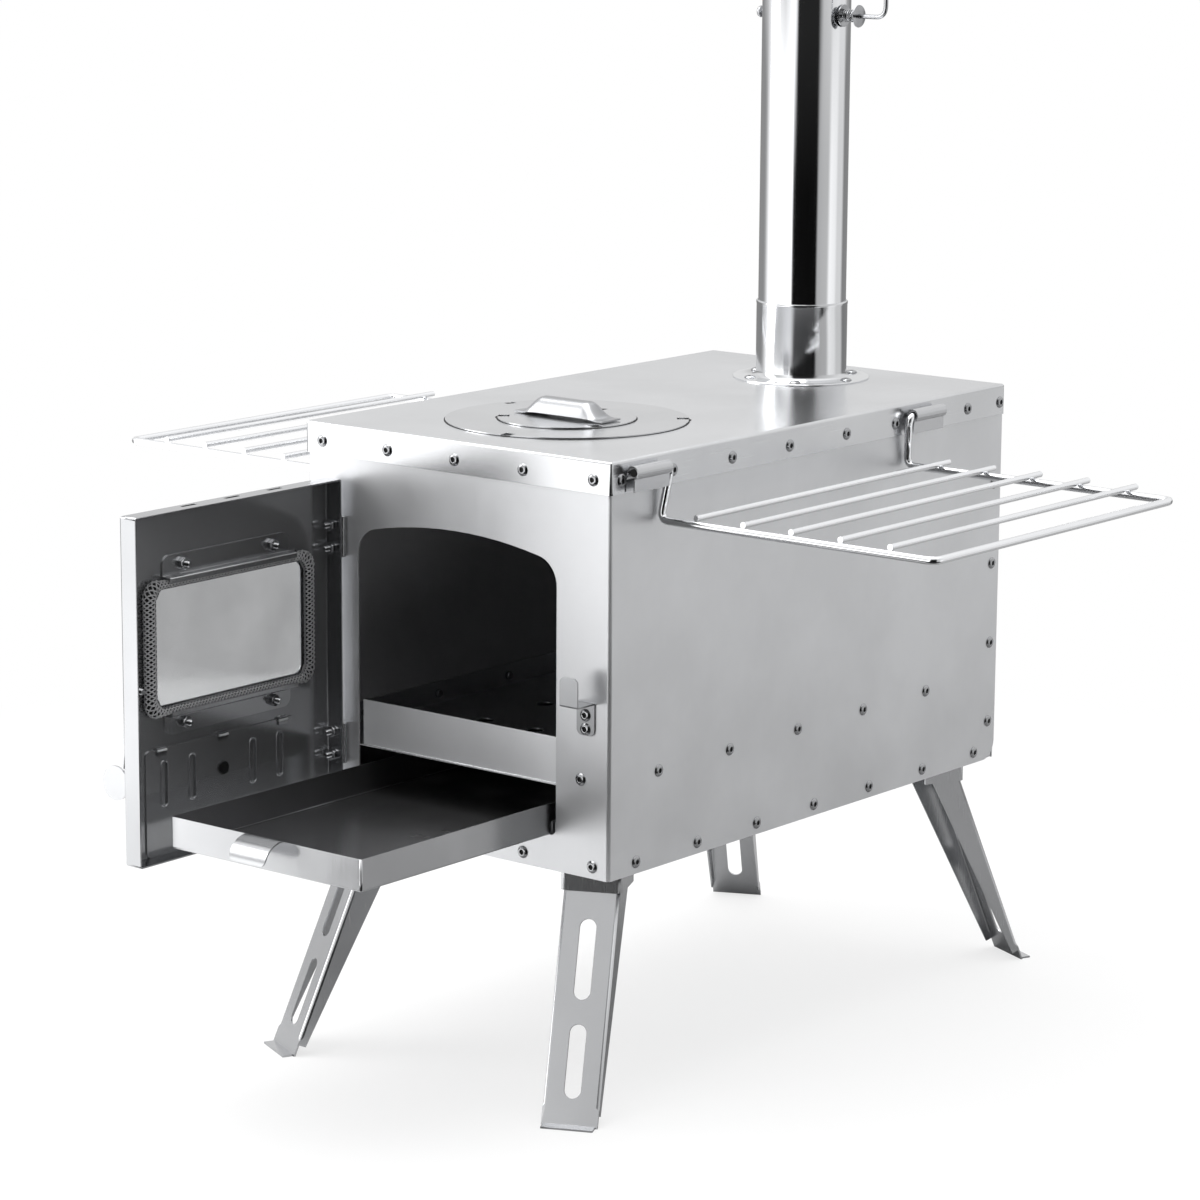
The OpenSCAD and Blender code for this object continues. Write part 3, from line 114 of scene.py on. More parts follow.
def rolled_steel(name, tint, rough, along="Z", grain=0.35, length=40, depth=0.003, bend=0.2, shade=0.04,
                 stain=0.0, metallic=1.0):
    """Stainless sheet: rolled or brushed along one axis, with faint clouds and softened edges.

    In millimetres: the width, run and relief of a rolling line are grain, length and depth, and an edge is
    softened over bend. Shade darkens the clouds and stain dulls them."""
    mat, tree = blank_material(name)
    place = add(tree, "ShaderNodeTexCoord").outputs["Object"]
    scale = [1 / (grain * MM)] * 3
    scale["XYZ".index(along)] = 1 / (length * MM)
    stretched = add(tree, "ShaderNodeMapping", {"Vector": place, "Scale": scale}).outputs["Vector"]
    lines = add(tree, "ShaderNodeTexNoise", {"Vector": stretched, "Scale": 1.0, "Detail": 3.0}).outputs["Fac"]
    clouds = add(tree, "ShaderNodeTexNoise", {"Vector": place, "Scale": 14.0, "Detail": 4.0}).outputs["Fac"]
    patches = add(tree, "ShaderNodeMapRange", {
        "Value": clouds, "From Min": 0.35, "From Max": 0.65}).outputs["Result"]
    dark = [c * (1 - 2 * shade) for c in linear(tint)[:3]] + [1.0]
    worn = add(tree, "ShaderNodeMix", {"Factor": patches, "A": dark, "B": linear(tint)}, data_type="RGBA")
    base = add(tree, "ShaderNodeMath", {
        0: patches, 1: stain, 2: rough - stain / 2}, operation="MULTIPLY_ADD").outputs[0]
    gloss = add(tree, "ShaderNodeMapRange", {
        "Value": lines, "To Min": -0.05, "To Max": 0.07}).outputs["Result"]
    total = add(tree, "ShaderNodeMath", {0: base, 1: gloss}).outputs[0]
    soft = add(tree, "ShaderNodeBevel", {"Radius": bend * MM}, samples=4).outputs["Normal"]
    bump = add(tree, "ShaderNodeBump", {
        "Height": lines, "Distance": depth * MM, "Normal": soft}).outputs["Normal"]
    shader = add(tree, "ShaderNodeBsdfPrincipled", {
        "Base Color": worn.outputs["Result"], "Roughness": total, "Metallic": metallic, "Normal": bump})
    add(tree, "ShaderNodeOutputMaterial", {"Surface": shader.outputs["BSDF"]})
    return mat


def coated_steel(name, tint, rough, grit=0.8, depth=0.02, metallic=0.0, spread=0.1):
    """Painted, sooted or dulled surface with a fine grit."""
    mat, tree = blank_material(name)
    place = add(tree, "ShaderNodeTexCoord").outputs["Object"]
    fine = add(tree, "ShaderNodeTexNoise", {
        "Vector": place, "Scale": 1 / (grit * MM), "Detail": 2.0}).outputs["Fac"]
    broad = add(tree, "ShaderNodeTexNoise", {"Vector": place, "Scale": 9.0, "Detail": 5.0}).outputs["Fac"]
    dark = [c * 0.6 for c in linear(tint)[:3]] + [1.0]
    worn = add(tree, "ShaderNodeMix", {"Factor": broad, "A": dark, "B": linear(tint)}, data_type="RGBA")
    gloss = add(tree, "ShaderNodeMapRange",
                {"Value": broad, "To Min": rough - spread, "To Max": rough + spread}).outputs["Result"]
    bump = add(tree, "ShaderNodeBump", {"Height": fine, "Distance": depth * MM}).outputs["Normal"]
    shader = add(tree, "ShaderNodeBsdfPrincipled", {
        "Base Color": worn.outputs["Result"], "Roughness": gloss, "Metallic": metallic, "Normal": bump})
    add(tree, "ShaderNodeOutputMaterial", {"Surface": shader.outputs["BSDF"]})
    return mat


def clear_glass(name):
    """Fire glass: flat, smoked by use, with a soft film of dust."""
    mat, tree = blank_material(name)
    place = add(tree, "ShaderNodeTexCoord").outputs["Object"]
    film = add(tree, "ShaderNodeTexNoise", {"Vector": place, "Scale": 22.0, "Detail": 5.0}).outputs["Fac"]
    gloss = add(tree, "ShaderNodeMapRange", {"Value": film, "To Min": 0.02, "To Max": 0.10}).outputs["Result"]
    tint = add(tree, "ShaderNodeMix", {
        "Factor": film, "A": linear("#949596"), "B": linear("#BBBCBD")}, data_type="RGBA")
    shader = add(tree, "ShaderNodeBsdfPrincipled", {
        "Base Color": tint.outputs["Result"], "Roughness": gloss, "Transmission Weight": 1.0, "IOR": 1.47})
    add(tree, "ShaderNodeOutputMaterial", {"Surface": shader.outputs["BSDF"]})
    return mat


# Rolled stainless sheet, brushed upright: broad soft reflections in faint streaks.
panel_steel = rolled_steel("stainless_panel", "#DCDDDF", 0.38, "Z", depth=0.002, stain=0.08, shade=0.05,
                           metallic=0.84)
# The cooking top is rolled front to back, and smoother.
top_steel = rolled_steel("stainless_top", "#DCDDDF", 0.24, "Y", length=60)
# Ring and lid are turned from the same sheet, a shade greyer from handling.
hob_steel = rolled_steel("stainless_hob", "#CFD0D2", 0.20, "Y", length=60)
# Pressed strip with a satin face, its tint darkened as painted shade: grey against the bright sheet round it.
shaded_handle_steel = rolled_steel("pressed_handle", "#A6A7A9", 0.30, "X", depth=0.001)
# The door pan keeps the mill's bright finish, so it mirrors what is round it.
door_steel = rolled_steel("stainless_door", "#BCBDBF", 0.17, "Z")
# Its inside has a thin film from the fire and mirrors the dark firebox.
door_inside = rolled_steel("stainless_door_inside", "#B2B3B5", 0.15, "Z", depth=0.001, metallic=0.8)
# Polished tube: nearly a mirror, in long upright bands.
pipe_steel = rolled_steel("polished_tube", "#ECEDEF", 0.07, "Z", grain=1.2, depth=0.002, shade=0.01)
# The collar is spun, then brushed: a touch softer than the pipe.
collar_steel = rolled_steel("brushed_collar", "#E0E1E3", 0.09, "Z", grain=0.8, depth=0.002)
# Legs pressed from strip with a satin face.
leg_steel = rolled_steel("pressed_strip", "#C9CACC", 0.24, "Z", length=25, depth=0.001)
# Small folded parts, brighter than the legs.
part_steel = rolled_steel("folded_strip", "#C8C9CB", 0.18, "Z", bend=0.15, depth=0.001, metallic=0.9)
# Drawn wire: bright, with fine lines along the rods.
wire_steel = rolled_steel("drawn_wire", "#F4F5F7", 0.12, "Y", grain=0.5, depth=0.002, shade=0.02)
# Tumbled rivets, pins and damper fittings: greyer than sheet, with small sharp highlights.
rivet_steel = rolled_steel("rivet_steel", "#A9AAAC", 0.16, "Z", grain=0.5, bend=0.1, depth=0.001)
# Zinc-plated bolts and nuts: a little paler.
bolt_steel = rolled_steel("zinc_plated_bolt", "#BEBFC1", 0.16, "Z", grain=0.5, bend=0.1, depth=0.001)
# Grate pan and damper: sheet dulled by the fire, with a pale lip where the pan faces out.
firebox_steel = rolled_steel("firebox_sheet", "#C6C7C9", 0.36, "Z", depth=0.001, shade=0.06)
lip_steel = rolled_steel("ember_lip_sheet", "#F0F1F3", 0.30, "Z", depth=0.001, metallic=0.5)
# The drawer's outside is bright sheet, its inside dark and satin: a fine grit breaks up the highlight.
drawer_steel = rolled_steel("drawer_sheet", "#CECFD1", 0.20, "Z", stain=0.1, shade=0.06)
drawer_dark = coated_steel("dark_satin_sheet", "#9C9C9E", 0.25, grit=0.9, depth=0.03, metallic=0.88,
                           spread=0.06)
# Inner walls under a matt film of ash: they show only the light that gets in.
soot_steel = coated_steel("sooted_sheet", "#C6C6C8", 0.5, metallic=0.1)
# Black oxide on the turned knob: a dull sheen.
knob_black = coated_steel("black_oxide", "#1A1A1B", 0.4, metallic=0.4)
# Painted shade for rivet bores, bracket mouths and seams: plain black, because no light comes out of them.
painted_shade_black = coated_steel("rivet_bore", "#0C0C0D", 0.7)
# Glass fibre rope under a braided sleeve of graphite yarn with a dull sheen.
gasket_core = coated_steel("glass_fibre_core", "#0E0E0F", 0.9, depth=0.05)
gasket_yarn = coated_steel("glass_fibre_yarn", "#B4B4B6", 0.45, grit=0.4, depth=0.04, spread=0.15)
fire_glass = clear_glass("fire_glass")

FINISH = {
    panel_steel: ["body_shell", "bottom_pan", "back_panel"],
    top_steel: ["top_plate"],
    shaded_handle_steel: ["lid_handle", "door_catch"],
    hob_steel: ["hob_ring", "hob_lid"],
    door_steel: ["door_pan"],
    door_inside: ["air_shutter"],
    pipe_steel: ["flue_pipe"],
    collar_steel: ["flue_collar"],
    leg_steel: ["leg_front_right", "leg_front_left", "leg_rear_right", "leg_rear_left", "leg_brackets"],
    part_steel: ["hinge_body_leaves", "hinge_door_leaves", "upper_window_clamp", "lower_window_clamp",
                 "latch_lever", "rack_brackets", "drawer_pull"],
    wire_steel: ["rack_right", "rack_left"],
    rivet_steel: ["shell_rivets", "skirt_rivets", "catch_rivets", "collar_rivets", "hinge_rivets",
                  "hinge_pins", "leg_pins", "damper_shaft", "damper_spring", "damper_washers"],
    bolt_steel: ["hinge_bolts", "hinge_nuts", "clamp_bolts", "clamp_nuts", "latch_bolt", "latch_nut"],
    firebox_steel: ["grate_pan", "damper_disc"],
    soot_steel: ["drawer_runners"],
    drawer_steel: ["ash_drawer"],
    knob_black: ["shutter_knob"],
    gasket_core: ["window_gasket"],
    fire_glass: ["window_glass"],
}
MATERIAL = {name: mat for mat, names in FINISH.items() for name in names}
for name, mat in MATERIAL.items():
    nodes[name].data.materials.clear()
    nodes[name].data.materials.append(mat)


def piece(name, bm, node, mat=None, replace=True, smooth=40, flat=False, inner=None):
    """Makes a finished piece from a bmesh, on the body and in the finish of its CAD node.

    It replaces that node unless replace is False. Edges over smooth degrees stay sharp. With flat, only
    faces as narrow as a bend's are shaded smooth. Where inner is given, it holds a second material and the
    test for the faces that get it."""
    bmesh.ops.remove_doubles(bm, verts=bm.verts, dist=WELD * MM)
    bmesh.ops.recalc_face_normals(bm, faces=bm.faces)
    if inner:
        for face in bm.faces:
            face.material_index = 1 if inner[1](face) else 0
    for face in bm.faces:
        face.smooth = not flat or 2 * face.calc_area() / max(face.calc_perimeter(), 1e-6) < 1.4 * MM
    # Setting the sharp edges clears the faces' own shading, so it is kept and given back.
    soft = [face.smooth for face in bm.faces]
    mesh = bpy.data.meshes.new(name)
    bm.to_mesh(mesh)
    bm.free()
    mesh.set_sharp_from_angle(angle=math.radians(smooth))
    mesh.polygons.foreach_set("use_smooth", soft)
    mesh.materials.append(mat or MATERIAL[node])
    if inner:
        mesh.materials.append(inner[0])
    obj = bpy.data.objects.new(name, mesh)
    bpy.context.scene.collection.objects.link(obj)
    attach(obj, BODY[node])
    if replace:
        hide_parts(node)
    return obj


def merged(node):
    """Bmesh of a CAD node with its triangles joined to flat faces."""
    bm = bmesh.new()
    bm.from_mesh(nodes[node].data)
    bmesh.ops.remove_doubles(bm, verts=bm.verts, dist=WELD / 2 * MM)
    bmesh.ops.dissolve_limit(bm, angle_limit=math.radians(0.5), verts=bm.verts, edges=bm.edges)
    return bm


def folded(node, radius, sheet=1.0, inner=None, keep=None):
    """A CAD sheet part with its bends rounded: outside to the radius, inside to what the sheet leaves.

    Below the height keep, in millimetres over the floor, the bends stay sharp."""
    bm = merged(node)
    if keep:
        bmesh.ops.bisect_plane(bm, geom=bm.verts[:] + bm.edges[:] + bm.faces[:],
                               plane_co=Z * keep * MM, plane_no=Z)
    bmesh.ops.recalc_face_normals(bm, faces=bm.faces)
    # A bend is a long edge between two faces that are broader than the sheet's own edge.
    broad = {f for f in bm.faces if 2 * f.calc_area() / f.calc_perimeter() > 1.35 * sheet * MM}
    bends = [e for e in bm.edges if len(e.link_faces) == 2 and e.calc_length() > 1.5 * radius * MM
             and all(f in broad for f in e.link_faces)
             and (keep is None or min(v.co.z for v in e.verts) > keep * MM - 1e-6)]
    outer = [e for e in bends if e.calc_face_angle_signed() > 0.4]
    hollow = [e for e in bends if e.calc_face_angle_signed() < -0.4]
    for edges, size in ((hollow, max(0.3, radius - sheet)), (outer, radius)):
        edges = [e for e in edges if e.is_valid]
        bmesh.ops.bevel(bm, geom=edges, offset=size * MM, offset_type="OFFSET", segments=4, profile=0.5,
                        affect="EDGES", material=-1, clamp_overlap=True)
    return piece(node + "_folded", bm, node, flat=True, smooth=45, inner=inner)


def solids(node):
    """Low and high corners of each separate solid of a CAD node."""
    bm = bmesh.new()
    bm.from_mesh(nodes[node].data)
    bmesh.ops.remove_doubles(bm, verts=bm.verts, dist=WELD / 2 * MM)
    left = set(bm.verts)
    found = []
    while left:
        group = [left.pop()]
        for v in group:
            for e in v.link_edges:
                w = e.other_vert(v)
                if w in left:
                    left.remove(w)
                    group.append(w)
        low = Vector([min(v.co[i] for v in group) for i in range(3)])
        high = Vector([max(v.co[i] for v in group) for i in range(3)])
        found.append((low, high))
    bm.free()
    return sorted(found, key=lambda s: tuple(round(c, 5) for c in s[0]))


def turned(profile, steps=24):
    """Bmesh of a lathe shape from (radius, height) pairs in millimetres, about Z."""
    bm = bmesh.new()
    ring = [bm.verts.new((r * MM, 0, h * MM)) for r, h in profile]
    edges = [bm.edges.new(pair) for pair in zip(ring, ring[1:])]
    bmesh.ops.spin(bm, geom=ring + edges, cent=(0, 0, 0), axis=(0, 0, 1), angle=math.tau, steps=steps,
                   use_merge=True, use_duplicate=False)
    bmesh.ops.remove_doubles(bm, verts=bm.verts, dist=WELD * MM)
    return bm


def spread(single, places):
    """One bmesh with a copy of another at each place."""
    mesh = bpy.data.meshes.new("pattern")
    single.to_mesh(mesh)
    single.free()
    bm = bmesh.new()
    for place in places:
        count = len(bm.verts)
        bm.from_mesh(mesh)
        bm.verts.ensure_lookup_table()
        bmesh.ops.transform(bm, matrix=place, verts=bm.verts[count:])
    bpy.data.meshes.remove(mesh)
    return bm
def join(bm, other):
    """Moves what another bmesh holds into this one."""
    mesh = bpy.data.meshes.new("part")
    other.to_mesh(mesh)
    other.free()
    bm.from_mesh(mesh)
    bpy.data.meshes.remove(mesh)


def facing(point, direction):
    """Matrix that puts Z along a direction at a point."""
    return Matrix.Translation(point) @ direction.to_track_quat("Z", "Y").to_matrix().to_4x4()


def seated(low, high, axis, way, end, inset):
    """Matrix that stands a turned shape in the box of its solid, along an axis, the way of a sign.

    Its seat is inset millimetres inside the box: from the face it points to, or with end -1 from the other."""
    side = way * end
    seat = (low + high) / 2
    seat[axis] = (high if side > 0 else low)[axis] - side * inset * MM
    return facing(seat, Vector([way if i == axis else 0 for i in range(3)]))


def arc(radius, angles):
    """Points of a circle as (across, up) at angles in degrees."""
    return [(radius * math.cos(math.radians(a)), radius * math.sin(math.radians(a))) for a in angles]


def rounded(points, bend, steps=6):
    """A path of points with its corners rounded to a radius."""
    path = [Vector(p) for p in points]
    found = [path[0]]
    for a, b, c in zip(path, path[1:], path[2:]):
        u, v = (a - b).normalized(), (c - b).normalized()
        run = min(bend / math.tan(u.angle(v) / 2), (a - b).length * 0.48, (c - b).length * 0.48)
        p, q = b + u * run, b + v * run
        found += [p * (1 - t) ** 2 + b * 2 * t * (1 - t) + q * t ** 2
                  for t in (i / steps for i in range(steps + 1))]
    return found + [path[-1]]


def tube(bm, path, diameter, sides=12, closed=False):
    """Adds a round wire along a path to a bmesh."""
    curve = bpy.data.curves.new("wire", "CURVE")
    curve.dimensions = "3D"
    spline = curve.splines.new("POLY")
    spline.points.add(len(path) - 1)
    for point, place in zip(spline.points, path):
        point.co = (*place, 1)
    spline.use_cyclic_u = closed
    curve.bevel_depth = diameter / 2
    curve.bevel_resolution = max(0, sides // 2 - 2)
    curve.use_fill_caps = True
    obj = bpy.data.objects.new("wire", curve)
    bpy.context.scene.collection.objects.link(obj)
    bpy.context.view_layer.update()
    mesh = bpy.data.meshes.new_from_object(obj.evaluated_get(bpy.context.evaluated_depsgraph_get()))
    bm.from_mesh(mesh)
    bpy.data.objects.remove(obj)
    bpy.data.curves.remove(curve)
    bpy.data.meshes.remove(mesh)


def surface(rows, thick):
    """Bmesh of a curved sheet through rows of points, thickened to both sides."""
    bm = bmesh.new()
    bmesh.ops.create_grid(bm, x_segments=len(rows[0]) - 1, y_segments=len(rows) - 1, size=1)
    for v, place in zip(bm.verts, (p for row in rows for p in row)):
        v.co = place
    bmesh.ops.recalc_face_normals(bm, faces=bm.faces)
    bmesh.ops.solidify(bm, geom=bm.faces[:], thickness=thick)
    return bm


# Sheet parts with rounded bends: some have a second finish on the faces inside.
def in_shell(face):
    """Inside of the body shell, behind its front and between its sides."""
    c = face.calc_center_median()
    return abs(c.x) < 123.4 * MM and c.y > front + 0.4 * MM


def in_drawer(face):
    """Inside of the ash drawer, over its floor."""
    c = face.calc_center_median()
    return abs(c.x) < 77.4 * MM and front - 173.4 * MM < c.y < front + 225.5 * MM and c.z > bottom + 23 * MM


def in_door(face):
    """Inner face of the door's sheet, without its edges."""
    return face.normal.x > 0.8 and abs(face.calc_center_median().x - at(-103.4, 0, 0).x) < 0.4 * MM


def on_lip(face):
    """Outer face of the grate pan's front lip."""
    return face.normal.y < -0.8 and face.calc_center_median().y < front + 3.5 * MM


folded("body_shell", 2.0, inner=(soot_steel, in_shell))
folded("door_pan", 1.6, inner=(door_inside, in_door))
folded("grate_pan", 1.4, inner=(lip_steel, on_lip))
folded("ash_drawer", 1.2, sheet=0.8, inner=(drawer_dark, in_drawer))
for node, radius, sheet in (
        ("top_plate", 1.6, 1), ("bottom_pan", 1.6, 1), ("door_catch", 1.2, 1), ("upper_window_clamp", 1.1, 1),
        ("lower_window_clamp", 1.1, 1), ("leg_brackets", 2.6, 1), ("latch_lever", 1.2, 1.5)):
    folded(node, radius, sheet)
for leg in ("leg_front_right", "leg_front_left", "leg_rear_right", "leg_rear_left"):
    folded(leg, 2.4, 1.2, keep=12)

# The drawer's left wall is folded up; a thin bright bead along the fold stands in for the highlight on the
# bend, a painted highlight.
bm = bmesh.new()
tube(bm, [at(-76.6, y, 23.8) for y in (-172.6, -172, 214, 215)], 0.9 * MM, sides=10)
piece("drawer_fold_bead", bm, "ash_drawer", door_inside, replace=False)

# Blind rivets: a low dome with the broken stem sunk in its bore, and the bulb behind the sheet.
# A profile is (radius, height over the seat) in millimetres.
RIVET = [(0, -0.3), (1.35, -0.3), (1.45, 0.9), (1.6, 1.35), (2.0, 1.5), (2.75, 1.3), (3.4, 0.9), (3.85, 0.45),
         (4.0, 0.25), (3.9, 0.05), (2.0, 0.0), (2.0, -2.2), (2.7, -2.8), (2.8, -4.2), (2.2, -5.2), (0, -5.4)]
STEM = [(0, 0.75), (0.8, 0.7), (1.38, 0.45), (1.38, 0.1), (0, 0.1)]
RIVET_RISE = 1.5
middle = (shell_low + shell_high) / 2
for node in ("shell_rivets", "skirt_rivets", "catch_rivets", "collar_rivets", "hinge_rivets"):
    places = []
    for low, high in solids(node):
        size = high - low
        axis = min(range(3), key=lambda i: size[i])
        outward = 1 if (low + high)[axis] / 2 > middle[axis] else -1
        places.append(seated(low, high, axis, outward, 1, RIVET_RISE))
    piece(node.replace("rivets", "blind_rivets"), spread(turned(RIVET, 20), places), node)
    # The broken stems are black discs: painted shade in their bores, over the stem's own steel.
    piece(node.replace("rivets", "rivet_stems"), spread(turned(STEM, 12), places), node, painted_shade_black,
          replace=False)

# Bolts with rolled threads, and nuts with their corners turned off.
THREAD = [(1.95 - 0.35 * (i % 2), 0.35 * i) for i in range(1, 30)]
HEAD = [(0, -1.8), (1.2, -1.8), (2.6, -1.55), (3.3, -1.0), (3.5, -0.4), (3.5, 0.0), (2.0, 0.0)]
HEAD_RISE = 1.8
NUT_THICK = 3.2


def hex_nut():
    bm = bmesh.new()
    bmesh.ops.create_cone(bm, cap_ends=True, segments=6, radius1=4.05 * MM, radius2=4.05 * MM,
                          depth=NUT_THICK * MM)
    bmesh.ops.bevel(bm, geom=bm.edges[:], offset=0.35 * MM, segments=2, profile=0.5, affect="EDGES",
                    material=-1)
    bmesh.ops.translate(bm, verts=bm.verts, vec=(0, 0, NUT_THICK / 2 * MM))
    return bm


for bolts, nuts in (("clamp_bolts", "clamp_nuts"), ("hinge_bolts", "hinge_nuts"),
                    ("latch_bolt", "latch_nut")):
    nut_places, bolt_places, length = [], [], 0
    for low, high in solids(bolts):
        size = high - low
        axis = max(range(3), key=lambda i: size[i])
        length = size[axis] / MM - HEAD_RISE
        bolt_places.append(seated(low, high, axis, 1 if axis == 0 else -1, -1, HEAD_RISE))
    for low, high in solids(nuts):
        size = high - low
        axis = min(range(3), key=lambda i: size[i])
        nut_places.append(seated(low, high, axis, 1 if axis == 0 else -1, -1, 0))
    shank = [(r, h) for r, h in THREAD if h < length - 0.3] + [(1.3, length), (0, length)]
    piece(bolts.replace("bolt", "threaded_bolt"), spread(turned(HEAD + shank, 20), bolt_places), bolts)
    piece(nuts.replace("nut", "hex_nut"), spread(hex_nut(), nut_places), nuts)

# Racks: a frame bent from one wire, with five thinner rods lying across its arms.
RACK_REACH = 198.4
ROD_SHARES = (0.118, 0.296, 0.476, 0.658, 0.838)
for side, node in ((1, "rack_right"), (-1, "rack_left")):
    bm = bmesh.new()
    wire = [(RACK_X, 21.6, RACK_Z), (RACK_X, 50.1, RACK_Z), (127, 44.7, 220), (329, 44.7, 220),
            (329, 308, 220), (127, 308, 220), (RACK_X, 304.2, RACK_Z), (RACK_X, 332.7, RACK_Z)]
    tube(bm, rounded([at(side * x, y, z) for x, y, z in wire], 6 * MM), 5 * MM, sides=16)
    for share in ROD_SHARES:
        x = side * (RACK_X + share * RACK_REACH)
        tube(bm, [at(x, y, 224.1) for y in (45.2, 45.7, 316.5, 317)], 4 * MM, sides=14)
    piece(node.replace("rack", "wire_rack"), bm, node)

# Rack brackets: strip rolled round the pin, its tail hanging over the skirt with a keyhole at the seam.
bm = bmesh.new()
roll = [(RACK_X + u, RACK_Z + v) for u, v in arc(3.4, range(-75, 196, 15))]
profile = ([(131.2, 241.6), (131.3, 244.5), (131.4, 249.2)] + roll
           + [(126.6, 250.5), (125.6, 249.0), (125.6, 241.5)])
for side in (1, -1):
    for y0, y1 in ((12.6, 46.6), (307.7, 341.7)):
        rows = [[at(side * x, y, z) for x, z in profile] for y in (y0, y0 + 0.4, y1 - 0.4, y1)]
        join(bm, surface(rows, 0.9 * MM))
piece("rolled_rack_brackets", bm, "rack_brackets", smooth=30)
# Painted shade: a black disc just inside each rolled mouth.
mouth_shade = turned([(0, 0), (2.45, 0), (2.45, 1.0), (0, 1.0)], 16)
bmesh.ops.translate(mouth_shade, verts=mouth_shade.verts, vec=(0, 0, 0.4 * MM))
places = [facing(at(side * RACK_X, y, RACK_Z), Y) for side in (1, -1) for y in (12.8, 307.9)]
piece("rack_bracket_mouths", spread(mouth_shade, places), "rack_brackets", painted_shade_black, replace=False)

# Flue: a spun collar with a bead at its mouth, and a tube with a reduced spigot.
centre = Matrix.Translation(at(0, FLUE_Y, 0))
COLLAR = [(46.9, 261.0), (46.9, 261.7), (46.6, 262.0), (34.5, 262.0), (32.6, 262.5), (31.5, 263.8),
          (31.1, 266), (31.1, 311.6), (31.3, 312.1), (31.3, 313.5), (31.0, 314.0), (30.3, 314.0),
          (30.15, 313.5), (30.15, 266), (31.0, 261.9), (33.0, 261.0), (46.9, 261.0)]
piece("spun_collar", spread(turned(COLLAR, 96), [centre]), "flue_collar")
PIPE = [(29.4, 261.2), (30.0, 261.2), (30.0, 519.8), (29.75, 521.0), (29.3, 521.6), (29.3, 560.6),
        (28.9, 561.0), (28.7, 560.6), (28.7, 521.8), (29.4, 519.0), (29.4, 261.2)]
piece("flue_tube", spread(turned(PIPE, 96), [centre]), "flue_pipe")

# Damper: bent shaft with its button, the spring of six turns, and a cupped washer at each end of it.
BUTTON = [(0, 0), (2.6, 0.1), (3.6, 0.7), (4.0, 1.6), (3.8, 2.6), (3.2, 3.0), (0, 3.0)]
shaft = bmesh.new()
wire = [at(-39.5, FLUE_Y, DAMPER_Z), at(65, FLUE_Y, DAMPER_Z), at(65, FLUE_Y, 550)]
tube(shaft, rounded(wire, 8 * MM, 10), 3 * MM, sides=16)
bm = spread(turned(BUTTON, 24), [facing(at(-40, FLUE_Y, DAMPER_Z), X)])
join(bm, shaft)
piece("bent_damper_shaft", bm, "damper_shaft")
coil = arc(3.8, range(0, 6 * 360 + 1, 15))
bm = bmesh.new()
tube(bm, [at(31.95 + 10.3 * i / (len(coil) - 1), FLUE_Y + u, DAMPER_Z + v) for i, (u, v) in enumerate(coil)],
     0.9 * MM, sides=8)
piece("damper_coil", bm, "damper_spring")
CUP = [(1.6, 0.05), (5.4, 0.1), (6.6, 0.45), (7.4, 0.5), (7.5, 0.8), (7.3, 1.15), (6.4, 1.1), (5.2, 0.75),
       (1.6, 0.7), (1.6, 0.05)]
places = [facing(at(30.3, FLUE_Y, DAMPER_Z), X), facing(at(43.9, FLUE_Y, DAMPER_Z), -X)]
piece("cupped_washers", spread(turned(CUP, 32), places), "damper_washers")

# Painted shadow: thin black rings on the plate round the cooking ring and the lid stand in for the shadowed
# gap at their edges, and black marks for the shade in their lifting notches.
for node, radius, low, notches in (("hob_ring", 78, 261.04, (40, 160, 280)),
                                   ("hob_lid", 44.5, 262.04, (95, 215, 335))):
    near, far, high = radius + 0.05, radius + 0.75, low + 0.12
    gap_shadow = [(near, low), (far, low), (far, high), (near, high), (near, low)]
    bm = spread(turned(gap_shadow, 96), [Matrix.Translation(at(0, HOB_Y, 0))])
    for angle in notches:
        notch_shadow = bmesh.new()
        bmesh.ops.create_cone(notch_shadow, cap_ends=True, segments=20, radius1=1, radius2=1, depth=1)
        spin = Matrix.Translation(at(0, HOB_Y, low + 0.1)) @ Matrix.Rotation(math.radians(angle), 4, "Z")
        bmesh.ops.transform(notch_shadow, verts=notch_shadow.verts, matrix=spin
                            @ Matrix.Translation(X * (radius - 0.6) * MM)
                            @ Matrix.Diagonal((2.2 * MM, 3.6 * MM, 0.16 * MM, 1)))
        join(bm, notch_shadow)
    piece(node + "_seam", bm, node, painted_shade_black, replace=False)

# Air shutter: pressed rims round its slots, and the turned edges of the tabs that hold it.
shutter_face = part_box("air_shutter")[1][0] / MM
rim = [(u, 67.22 + v) for u, v in arc(2.9, range(0, 181, 15))]
rim += [(u, 43.79 + v) for u, v in arc(2.9, range(180, 361, 15))]
bm = bmesh.new()
for slot in (-51.46, -27.01, 27.01, 51.46):
    tube(bm, [at(shutter_face + 0.1, SHUTTER_Y - slot - u, z) for u, z in rim], 0.8 * MM, sides=8, closed=True)
piece("shutter_slot_rims", bm, "air_shutter", bolt_steel, replace=False)
bm = bmesh.new()
for tab in (-54.02, 0, 54.02):
    edge = [at(shutter_face + 1.0, SHUTTER_Y - tab + along, 77.2) for along in (-4, -3.9, 3.9, 4)]
    tube(bm, edge, 1.5 * MM, sides=10)
piece("shutter_tab_edges", bm, "door_pan", lip_steel, replace=False)

# Lid handle: a soft hat pressed from strip, its long sides drawn down.
HANDLE_HALF, HANDLE_RISE = 37, 10.2
rows = []
for i in range(49):
    u = -HANDLE_HALF + 2 * HANDLE_HALF * i / 48
    rise = min(1, max(0, (33 - abs(u)) / 15))
    rise = rise * rise * (3 - 2 * rise)
    wide = 9.2 - 0.6 * rise
    row = []
    for j in range(17):
        v = -1 + j / 8
        crest = 1 - 0.9 * abs(v) ** 3
        row.append(at(u * 0.985, HOB_Y + v * wide, 263.55 + rise * HANDLE_RISE * crest))
    rows.append(row)
piece("pressed_lid_handle", surface(rows, 1.0 * MM), "lid_handle", smooth=60)

